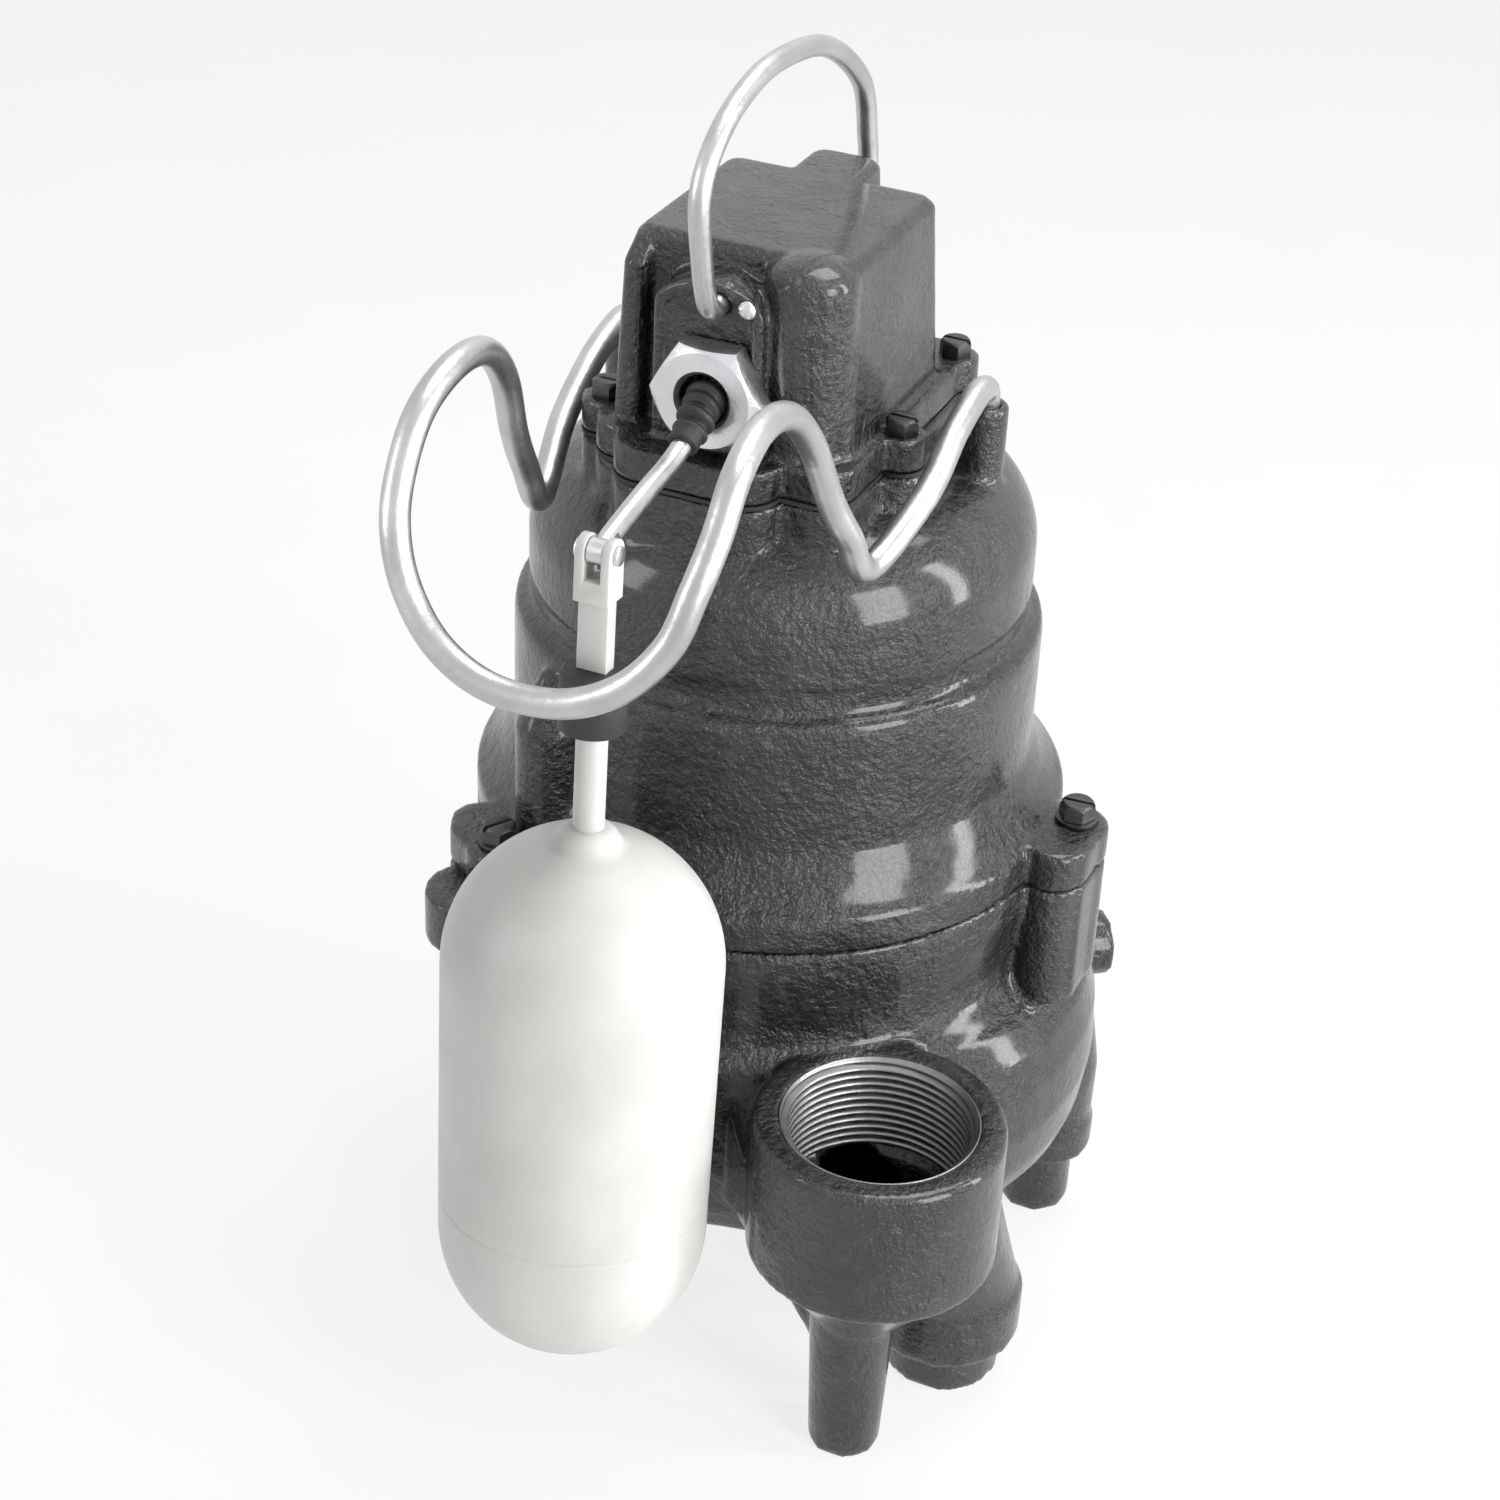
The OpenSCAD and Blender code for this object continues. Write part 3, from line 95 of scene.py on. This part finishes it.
# a shader value that does arithmetic by adding maths nodes
class Wire:

    def __init__(self, graph, socket):
        self.graph = graph
        self.socket = socket

    def maths(self, kind, other):
        return self.graph.add("ShaderNodeMath", {"operation": kind}, {0: self, 1: other})

    def __add__(self, other):
        return self.maths("ADD", other)

    def __radd__(self, other):
        return self.maths("ADD", other)

    def __mul__(self, other):
        return self.maths("MULTIPLY", other)

    def __rmul__(self, other):
        return self.maths("MULTIPLY", other)

    def clamp(self):
        return self.graph.add("ShaderNodeClamp", {}, {0: self})

    def smooth(self, low, high):
        settings = {"interpolation_type": "SMOOTHSTEP"}
        return self.graph.add("ShaderNodeMapRange", settings, {0: self, 1: low, 2: high})


# the node tree of a material or of the world
class Graph:

    def __init__(self, owner):
        owner.use_nodes = True
        self.owner = owner
        self.tree = owner.node_tree

    def plug(self, socket, value):
        if isinstance(value, Wire):
            self.tree.links.new(value.socket, socket)
        elif isinstance(value, (tuple, list)) and len(value) < len(socket.default_value):
            socket.default_value = (*value, 1)  # a colour without its alpha
        else:
            socket.default_value = value

    # settings come first, and sockets go by name or by number
    def add(self, kind, settings, sockets, output=0):
        node = self.tree.nodes.new(kind)
        for key, value in settings.items():
            setattr(node, key, value)
        for key, value in sockets.items():
            self.plug(node.inputs[key], value)
        return Wire(self, node.outputs[output])

    def coords(self):
        return self.add("ShaderNodeTexCoord", {}, {}, "Object")

    def stretched(self, scale):
        return self.add("ShaderNodeMapping", {}, {"Vector": self.coords(), "Scale": scale})

    def noise(self, scale, detail, roughness, vector=None):
        vector = vector or self.coords()
        sockets = {"Vector": vector, "Scale": scale, "Detail": detail, "Roughness": roughness}
        return self.add("ShaderNodeTexNoise", {}, sockets)

    def mix(self, amount, low, high):
        return self.add("ShaderNodeMix", {"data_type": "RGBA"}, {0: amount, 6: low, 7: high}, 2)

    def bump(self, height, strength, distance, under=None):
        sockets = {"Strength": strength, "Distance": distance, "Height": height}
        if under:
            sockets["Normal"] = under
        return self.add("ShaderNodeBump", {}, sockets)

    def shaderOf(self, name):
        return Wire(self, self.tree.nodes[name].outputs[0])

    def paint(self, **inputs):
        for key, value in inputs.items():
            self.plug(self.tree.nodes["Principled BSDF"].inputs[key.replace("_", " ")], value)
        return self.owner

    def mixSurface(self, output, share, first, second):
        mixed = self.add("ShaderNodeMixShader", {}, {0: share, 1: first, 2: second})
        self.plug(self.tree.nodes[output].inputs["Surface"], mixed)


# glossy black enamel over the grain and pits of a sand casting
enamel = {
    "dark": (0.0045, 0.0045, 0.005),
    "light": (0.021, 0.021, 0.023),
    "roughness": 0.17,
    "grain": 640,
    "pits": 230,
    "grainDepth": 0.0017,
    "waveDepth": 0.003,
    "coat": 0.5,
    "coatRoughness": 0.12,
    "specular": 0.45,
}


def enamelMaterial(s):
    g = Graph(bpy.data.materials.new("enamel"))
    broad = g.noise(30, 3, 0.6)
    orange = g.noise(s["grain"], 3, 0.6)
    pits = g.noise(s["pits"], 4, 0.65)
    patch = g.noise(75, 3, 0.55).smooth(0.4, 0.62)
    colour = g.mix((broad * 0.6 + pits * 0.4).smooth(0.38, 0.66), s["dark"], s["light"])
    rough = s["roughness"] + patch * 0.1 + pits * 0.12
    relief = orange * 0.7 + pits * (0.35 + patch * 0.6)
    grain = g.bump(relief, 1.0, s["grainDepth"])
    wave = g.bump(broad, 0.15, s["waveDepth"], grain)
    return g.paint(Base_Color=colour, Roughness=rough, Normal=wave, Coat_Weight=s["coat"],
                   Coat_Roughness=s["coatRoughness"], Specular_IOR_Level=s["specular"])


metal = {"stain": 60, "stainShade": 0.8, "bump": 0.5, "depth": 0.0002}


def metalMaterial(name, colour, roughness, grain, stretch=(1, 1, 1), s=metal):
    g = Graph(bpy.data.materials.new(name))
    fine = g.noise(grain, 3, 0.6, g.stretched(stretch))
    stain = g.noise(s["stain"], 3, 0.6)
    shade = g.mix(stain.smooth(0.3, 0.75), [c * s["stainShade"] for c in colour], colour)
    return g.paint(Base_Color=shade, Metallic=1.0, Roughness=roughness + fine * 0.14 + stain * 0.05,
                   Normal=g.bump(fine, s["bump"], s["depth"]))


# blown polyethylene, faintly cloudy, with flow lines along its length
poly = {
    "dark": (0.52, 0.515, 0.5),
    "light": (0.57, 0.565, 0.55),
    "roughness": 0.4,
    "flow": (1, 1, 0.08),
    "glow": 0.25,
    "glowDepth": (0.004, 0.0038, 0.0034),
}


def floatMaterial(s):
    g = Graph(bpy.data.materials.new("white_poly"))
    cloud = g.noise(45, 3, 0.5)
    fine = g.noise(1400, 2, 0.5)
    flow = g.noise(120, 2, 0.5, g.stretched(s["flow"]))
    colour = g.mix(cloud.smooth(0.3, 0.7), s["dark"], s["light"])
    return g.paint(Base_Color=colour, Roughness=s["roughness"] + flow * 0.12, Subsurface_Weight=s["glow"],
                   Subsurface_Radius=s["glowDepth"], Subsurface_Scale=1.0,
                   Normal=g.bump(fine * 0.6 + flow * 0.4, 0.15, 0.0003))


soft = {"dust": 80, "grain": 1500, "dustShade": 1.7, "dustLift": 0.004, "bump": 0.3, "depth": 0.0003}


def softMaterial(name, colour, roughness, s=soft):
    g = Graph(bpy.data.materials.new(name))
    dust = g.noise(s["dust"], 4, 0.6)
    fine = g.noise(s["grain"], 2, 0.5)
    dusty = [c * s["dustShade"] + s["dustLift"] for c in colour]
    shade = g.mix(dust.smooth(0.35, 0.75), colour, dusty)
    return g.paint(Base_Color=shade, Roughness=roughness + dust * 0.15,
                   Normal=g.bump(fine, s["bump"], s["depth"]))


looks = {
    "enamel": enamelMaterial(enamel),
    "thread": metalMaterial("thread", (0.3, 0.3, 0.31), 0.3, 600),
    "black_oxide": metalMaterial("black_oxide", (0.09, 0.09, 0.095), 0.3, 600),
    "zinc_plate": metalMaterial("zinc_plate", (0.74, 0.75, 0.77), 0.2, 700),
    "stainless": metalMaterial("stainless", (0.62, 0.62, 0.63), 0.22, 500),
    "plated_wire": metalMaterial("plated_wire", (0.56, 0.56, 0.57), 0.26, 500),
    "white_poly": floatMaterial(poly),
    "black_rubber": softMaterial("black_rubber", (0.012, 0.012, 0.012), 0.5),
    "cast_bracket": metalMaterial("cast_bracket", (0.2, 0.2, 0.21), 0.5, 400),
    "lamination": metalMaterial("lamination", (0.35, 0.35, 0.37), 0.4, 800, (1, 1, 6)),
    "copper": metalMaterial("copper", (0.65, 0.27, 0.12), 0.3, 900),
    "cast_aluminium": metalMaterial("cast_aluminium", (0.68, 0.69, 0.7), 0.45, 400),
    "bronze": metalMaterial("bronze", (0.55, 0.38, 0.17), 0.35, 450),
    "bearing_steel": metalMaterial("bearing_steel", (0.7, 0.7, 0.72), 0.12, 900),
    "seal_ceramic": softMaterial("seal_ceramic", (0.8, 0.78, 0.73), 0.25),
    "carbon": softMaterial("carbon", (0.02, 0.02, 0.02), 0.4),
    "switch_plastic": softMaterial("switch_plastic", (0.02, 0.02, 0.02), 0.4),
    "plunger_plastic": softMaterial("plunger_plastic", (0.5, 0.03, 0.02), 0.3),
    "protector_case": metalMaterial("protector_case", (0.56, 0.56, 0.57), 0.3, 500),
    "wire_cover": softMaterial("wire_cover", (0.4, 0.02, 0.015), 0.35),
}
slots = {entry["node"]: entry["material_slot"] for entry in frame["record"]["subparts"]}
bodies = {node: body for body, group in frame["record"]["behaviour"]["bodies"].items() for node in group}
for name, node in nodes.items():
    node.data.materials.clear()
    node.data.materials.append(looks[slots[name]])
print("materials built")


def addObject(name, work, material, body, *replaced, slot=None):
    mesh = bpy.data.meshes.new(name)
    work.to_mesh(mesh)
    work.free()
    obj = bpy.data.objects.new(name, mesh)
    scene.collection.objects.link(obj)
    for polygon in mesh.polygons:
        polygon.use_smooth = True
    mesh.materials.append(looks[material])
    if body:
        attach(obj, body)
    for node in replaced:
        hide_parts(node)
    return obj


# a solid is loose triangles, so its copy is joined up first
def joinedCopy(name, near):
    work = bmesh.new()
    work.from_mesh(nodes[name].data)
    bmesh.ops.remove_doubles(work, verts=work.verts, dist=near)
    return work


def applyModifiers(obj, *modifiers):
    bpy.context.view_layer.objects.active = obj
    for modifier in modifiers:
        bpy.ops.object.modifier_apply(modifier=modifier.name)


# an even skin, smoothed, rounds every corner as a mould does
def mouldSkin(obj, voxel, smoothing):
    remesh = obj.modifiers.new("remesh", "REMESH")
    remesh.mode = "VOXEL"
    remesh.voxel_size = voxel
    remesh.use_smooth_shade = True
    soften = obj.modifiers.new("soften", "SMOOTH")
    soften.factor = 0.5
    soften.iterations = smoothing
    applyModifiers(obj, remesh, soften)


casting = {
    "voxels": {"volute": 0.0012, "motor_housing": 0.0011, "switch_cover": 0.0007},
    "smoothing": 5,
    "faces": 95000,
    "near": 1e-6,
}
mouth = {
    "place": next(m["pos_m"] for m in frame["record"]["mounts"] if m["name"] == "discharge"),
    "face": 0.065,
    "crest": 0.022,
    "root": 0.0237,
    "pitch": 0.0254 / 11.5,
    "length": 0.0262,
    "cutPast": 0.004,
    "flare": 0.0017 * 1.25,
    "flat": 1.18,
    "flank": 2.6,
    "sunk": 0.0003,
    "wall": 0.0004,
    "rows": 150,
    "around": 160,
}


# the bore is widened so that the thread fits inside it
def openMouth(obj, s):
    work = bmesh.new()
    bmesh.ops.create_cone(work, cap_ends=True, segments=128, radius1=s["root"], radius2=s["root"],
                          depth=s["length"] + s["cutPast"])
    mesh = bpy.data.meshes.new("cutter")
    work.to_mesh(mesh)
    work.free()
    cutter = bpy.data.objects.new("cutter", mesh)
    scene.collection.objects.link(cutter)
    cutter.location = (*s["place"][:2], s["face"] - s["length"] / 2 + s["cutPast"] / 2)
    cut = obj.modifiers.new("cut", "BOOLEAN")
    cut.object = cutter
    cut.solver = "EXACT"
    applyModifiers(obj, cut)
    bpy.data.objects.remove(cutter)


def threadSleeve(s):
    down = (0, 0, -s["length"] / s["rows"])
    work = bmesh.new()
    ring = bmesh.ops.create_circle(work, segments=s["around"], radius=1.0)["verts"]
    edges = list({edge for vert in ring for edge in vert.link_edges})
    for row in range(s["rows"]):
        grown = bmesh.ops.extrude_edge_only(work, edges=edges)["geom"]
        verts = [part for part in grown if isinstance(part, bmesh.types.BMVert)]
        bmesh.ops.translate(work, vec=down, verts=verts)
        edges = [part for part in grown if isinstance(part, bmesh.types.BMEdge)]
    for vert in work.verts:
        turn = math.atan2(vert.co.y, vert.co.x) / (2 * math.pi)
        wave = (vert.co.z / s["pitch"] - turn) % 1.0
        ridge = min(1.0, max(0.0, s["flat"] - abs(wave - 0.5) * s["flank"]))
        radius = s["root"] - (s["root"] - s["crest"]) * ridge
        radius = max(radius, s["crest"] + s["flare"] + vert.co.z)
        radius = min(radius, s["root"] + s["sunk"])
        vert.co.x *= radius
        vert.co.y *= radius
        vert.co.z += s["face"] - s["sunk"]
    bmesh.ops.translate(work, vec=(*s["place"][:2], 0), verts=work.verts)
    bmesh.ops.reverse_faces(work, faces=work.faces)
    bmesh.ops.recalc_face_normals(work, faces=work.faces)
    sleeve = addObject("discharge_thread", work, "thread", "pump", slot="enamel")
    shell = sleeve.modifiers.new("shell", "SOLIDIFY")
    shell.thickness = s["wall"]


def castCopy(name, voxel, s):
    obj = addObject(name + "_cast", joinedCopy(name, s["near"]), "enamel", bodies[name], name)
    if name == "volute":
        openMouth(obj, mouth)
    mouldSkin(obj, voxel, s["smoothing"])
    count = len(obj.data.polygons)
    if count > s["faces"]:
        thin = obj.modifiers.new("thin", "DECIMATE")
        thin.ratio = s["faces"] / count
        applyModifiers(obj, thin)
    print(name, len(obj.data.polygons))


for name, voxel in casting["voxels"].items():
    castCopy(name, voxel, casting)
threadSleeve(mouth)
print("castings built")


# small parts keep their solids' shape, with edges broken by these widths
edged = {
    "widths": {
        "gland_nut": 0.00045,
        "housing_bolts": 0.00035,
        "cover_bolts": 0.0003,
        "bail_rivet": 0.0002,
        "float_clip": 0.0005,
        "float_collar": 0.0004,
        "clip_pin": 0.0002,
        "cord_inlet": 0.0004,
        "housing_plug": 0.0003,
        "suction_plate": 0.0005,
        "suction_plate_screws": 0.0003,
    },
    "near": 2e-6,
    "flat": math.radians(0.6),
    "sharp": math.radians(38),
    "shade": math.radians(40),
}


def edgedCopy(name, width, s):
    work = joinedCopy(name, s["near"])
    bmesh.ops.dissolve_limit(work, angle_limit=s["flat"], verts=work.verts, edges=work.edges)
    sharp = [edge for edge in work.edges
             if len(edge.link_faces) == 2 and edge.calc_face_angle(0) > s["sharp"]]
    bmesh.ops.bevel(work, geom=sharp, offset=width, offset_type="OFFSET", segments=2, profile=0.5,
                    affect="EDGES", clamp_overlap=True, material=-1)
    bmesh.ops.triangulate(work, faces=[face for face in work.faces if len(face.verts) > 4])
    obj = addObject(name + "_edged", work, slots[name], bodies[name], name)
    obj.data.set_sharp_from_angle(angle=s["shade"])


for name, width in edged["widths"].items():
    edgedCopy(name, width, edged)
print("small parts built")


# the wires follow the same bends as their solids, in millimetres
drawn = {"material": "plated_wire", "steps": 10, "roundness": 7, "near": 1e-6}
guard = {
    "radius": 3.2,
    "turn": 3.0,
    "side": [
        (46, 9, 201), (46, 9, 207), (46, 9, 210.5), (46, 7, 214), (45.7, 0, 214.5), (45.5, -14, 211.5),
        (44.9, -32, 203.2), (40, -55, 195), (38.7, -66, 208), (37.2, -75, 221), (35.3, -84, 238),
        (34, -96, 249), (33.7, -111, 252), (34.2, -125, 248), (34.1, -134.1, 239),
        (32.4, -140.8, 229.5), (28.6, -143.9, 218), (20, -147.1, 208), (7.6, -149, 202.5),
    ],
    "tuck": [0, 0, 0, 0, 0, 0, 0, 1, 3.5, 8, 9, 5, 2, 0, 0, 0, 0, 0, 0],
    "tuckWay": (-0.29, 0.8, -0.525),
}
bail = {
    "radius": 2.5,
    "turn": 0,
    "path": [
        (0, -40.6, 245.5), (0, -44, 245.5), (0, -47, 245.5), (0, -50, 248.5), (0, -53, 257.5),
        (0, -55.5, 273.5), (0, -50, 283), (0, -37.5, 290), (0, -18.5, 293), (0, 9.8, 288.5),
        (0, 33.5, 273.5), (0, 40, 257.5), (0, 41.5, 249.5), (0, 40, 245.5), (0, 36.5, 245.5),
        (0, 34, 245.5),
    ],
}
millimetre = 0.001


# a smooth line through every point
def curvePoints(points, steps):
    out = []
    last = len(points) - 1
    for i in range(last):
        a, b, c, d = (Vector(points[k]) for k in (max(i - 1, 0), i, i + 1, min(i + 2, last)))
        for step in range(steps):
            t = step / steps
            out.append(0.5 * (2 * b + (c - a) * t + (2 * a - 5 * b + 4 * c - d) * t ** 2
                              + (3 * b - a - 3 * c + d) * t ** 3))
    return out + [Vector(points[last])]


def wirePiece(name, points, wire, s):
    spin = Matrix.Rotation(math.radians(wire["turn"]), 3, "Z")
    line = [spin @ p * millimetre for p in curvePoints(points, s["steps"])]
    curve = bpy.data.curves.new(name, "CURVE")
    curve.dimensions = "3D"
    spline = curve.splines.new("POLY")
    spline.points.add(len(line) - 1)
    for point, place in zip(spline.points, line):
        point.co = (*place, 1)
    curve.bevel_depth = wire["radius"] * millimetre
    curve.bevel_resolution = s["roundness"]
    curve.use_fill_caps = True
    rough = bpy.data.objects.new(name + "_curve", curve)
    scene.collection.objects.link(rough)
    work = bmesh.new()
    work.from_mesh(rough.evaluated_get(bpy.context.evaluated_depsgraph_get()).to_mesh())
    bmesh.ops.remove_doubles(work, verts=work.verts, dist=s["near"])
    bmesh.ops.recalc_face_normals(work, faces=work.faces)
    bpy.data.objects.remove(rough)
    addObject(name + "_drawn", work, s["material"], bodies[name], name)


# the guard is tucked in on the discharge side, and its other side is the mirror image of its free shape
tucked = [Vector(p) + Vector(guard["tuckWay"]) * t for p, t in zip(guard["side"], guard["tuck"])]
mirrored = [Vector((-x, y, z)) for x, y, z in reversed(guard["side"])]
wirePiece("guard_wire", tucked + mirrored, guard, drawn)
wirePiece("bail_handle", bail["path"], bail, drawn)
print("wires built")


# the float, in the frame of its pin with the float hanging down, in millimetres
floatBody = {
    "pin": (0, -100.5, 210.5),
    "lean": -4.01,
    "side": -0.6,
    "radius": 32.5,
    "neck": [(0, 3.6), (3.7, 3.6), (5.4, 3.2), (6.4, 2.2), (7.6, 0.6)],
    "upper": -102,
    "upperFrom": 15,
    "barrel": (-125, -148),
    "draft": 0.5,
    "weld": -164,
    "lip": (1.6, 0.8),
    "seam": [(-0.5, 0.4), (-0.75, 0), (-0.5, -0.5), (-0.5, -1.2)],
    "lower": -173,
    "lowerBulge": 1.04,
    "arcStep": 3,
    "rodRadius": 3.6,
    "rodTop": -38.5,
    "rodCollar": -48.5,
    "rodEnd": -70.2,
    "rodSunk": 3,
}


def hang(work, s):
    turn = Matrix.Rotation(math.radians(s["side"]), 4, "Y") @ Matrix.Rotation(math.radians(s["lean"]), 4, "X")
    place = Matrix.Translation(Vector(s["pin"]))
    bmesh.ops.transform(work, matrix=Matrix.Scale(millimetre, 4) @ place @ turn, verts=work.verts)


def lathe(profile, turns):
    work = bmesh.new()
    verts = [work.verts.new((x, 0, z)) for x, z in profile]
    edges = [work.edges.new(pair) for pair in zip(verts, verts[1:])]
    bmesh.ops.spin(work, geom=verts + edges, axis=(0, 0, 1), cent=(0, 0, 0), angle=2 * math.pi,
                   steps=turns, use_merge=True, use_duplicate=False)
    bmesh.ops.remove_doubles(work, verts=work.verts, dist=1e-4)
    bmesh.ops.recalc_face_normals(work, faces=work.faces)
    return work


def shellProfile(s):
    big, small = s["radius"], s["radius"] - s["draft"]
    profile = [(x, s["rodEnd"] + z) for x, z in s["neck"]]
    for step in range(s["upperFrom"], 91, s["arcStep"]):
        angle = math.radians(step)
        profile.append((big * math.sin(angle), s["upper"] + big * math.cos(angle)))
    for z in (*s["barrel"], *(s["weld"] + lip for lip in s["lip"])):
        profile.append((big - s["draft"] * (s["upper"] - z) / (s["upper"] - s["lower"]), z))
    for out, z in s["seam"]:
        profile.append((big + out, s["weld"] + z))
    for step in range(90, 180, s["arcStep"]):
        angle = math.radians(step)
        profile.append((small * math.sin(angle), s["lower"] + s["lowerBulge"] * small * math.cos(angle)))
    return profile + [(0, s["lower"] - s["lowerBulge"] * small)]


def floatPieces(s):
    shell = lathe(shellProfile(s), 120)
    hang(shell, s)
    addObject("float_blown", shell, "white_poly", bodies["float_shell"], "float_shell", "float_end_cap")
    thick, foot = s["rodRadius"], s["rodEnd"] - s["rodSunk"]
    profile = [(0, s["rodTop"]), (thick, s["rodTop"]), (thick, s["rodCollar"]), (thick, foot), (0, foot)]
    rod = lathe(profile, 48)
    hang(rod, s)
    obj = addObject("float_rod_turned", rod, "white_poly", bodies["float_rod"], "float_rod")
    obj.data.set_sharp_from_angle(angle=edged["shade"])


floatPieces(floatBody)
print("float built")


# the boot is fixed to the gland at one end and meets the lever at the other; here it is a moulded copy of its
# solid, attached to no body
boot = {
    "voxel": 0.00028,
    "smoothing": 4,
    "near": 1e-6,
    "start": (0, -0.049, 0.2245),
    "end": (0, -0.0595, 0.2185),
}


def bootPiece(s):
    work = joinedCopy("lever_boot", s["near"])
    obj = addObject("lever_boot_moulded", work, "black_rubber", None, "lever_boot")
    mouldSkin(obj, s["voxel"], s["smoothing"])
    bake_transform(obj)


bootPiece(boot)
print("boot built")


# each lamp has its place, its width and height in metres, and its watts
studio = {
    "floor": -0.0421,
    "floorHalf": 3,
    "floorDark": (0.84, 0.84, 0.84),
    "floorLight": (0.88, 0.88, 0.88),
    "lift": 0.8,
    "sky": (1, 1, 1),
    "skyShown": 1.0,
    "skyLight": 0.2,
    "aim": (0, 0, 0.1),
    "lamps": {
        "key": ((1.1, -0.45, 0.5), (0.45, 0.9), 16),
        "strip": ((1.0, 0.25, 0.45), (0.15, 1.0), 8),
        "fill": ((-0.9, -0.9, 0.6), (0.3, 0.7), 5),
        "top": ((0.1, 0.35, 1.1), (0.5, 0.5), 7),
    },
}


def areaLight(name, place, size, power, aim):
    data = bpy.data.lights.new(name, "AREA")
    data.shape = "RECTANGLE"
    data.size, data.size_y = size
    data.energy = power
    light = bpy.data.objects.new(name, data)
    scene.collection.objects.link(light)
    light.location = place
    light.rotation_euler = (Vector(aim) - Vector(place)).to_track_quat("-Z", "Y").to_euler()


# one for rays that show the backdrop or mirror it, nought for those that light the pump
def backdropRays(g):
    path = g.tree.nodes.new("ShaderNodeLightPath")
    seen, mirrored, through = (
        Wire(g, path.outputs[ray]) for ray in ("Is Camera Ray", "Is Glossy Ray", "Is Transmission Ray")
    )
    return (seen + mirrored + through).clamp()


def whiteWorld(s):
    g = Graph(bpy.data.worlds.new("world"))
    scene.world = g.owner
    background = g.tree.nodes["Background"]
    g.plug(background.inputs["Color"], s["sky"])
    g.plug(background.inputs["Strength"], s["skyLight"])
    shown = g.add("ShaderNodeBackground", {}, {"Color": s["sky"], "Strength": s["skyShown"]})
    g.mixSurface("World Output", backdropRays(g), g.shaderOf("Background"), shown)


def paleFloor(s):
    g = Graph(bpy.data.materials.new("floor"))
    speck = g.noise(14, 3, 0.5).smooth(0.3, 0.7)
    g.paint(Base_Color=g.mix(speck, s["floorDark"], s["floorLight"]), Roughness=0.9)
    glow = g.add("ShaderNodeEmission", {}, {"Strength": 1.0})
    g.mixSurface("Material Output", backdropRays(g) * s["lift"], g.shaderOf("Principled BSDF"), glow)
    work = bmesh.new()
    bmesh.ops.create_grid(work, x_segments=2, y_segments=2, size=s["floorHalf"])
    bmesh.ops.translate(work, vec=(0, 0, s["floor"]), verts=work.verts)
    mesh = bpy.data.meshes.new("floor")
    work.to_mesh(mesh)
    work.free()
    mesh.materials.append(g.owner)
    obj = bpy.data.objects.new("floor", mesh)
    scene.collection.objects.link(obj)


whiteWorld(studio)
paleFloor(studio)
for name, lamp in studio["lamps"].items():
    areaLight(name, *lamp, studio["aim"])
print("studio lit")
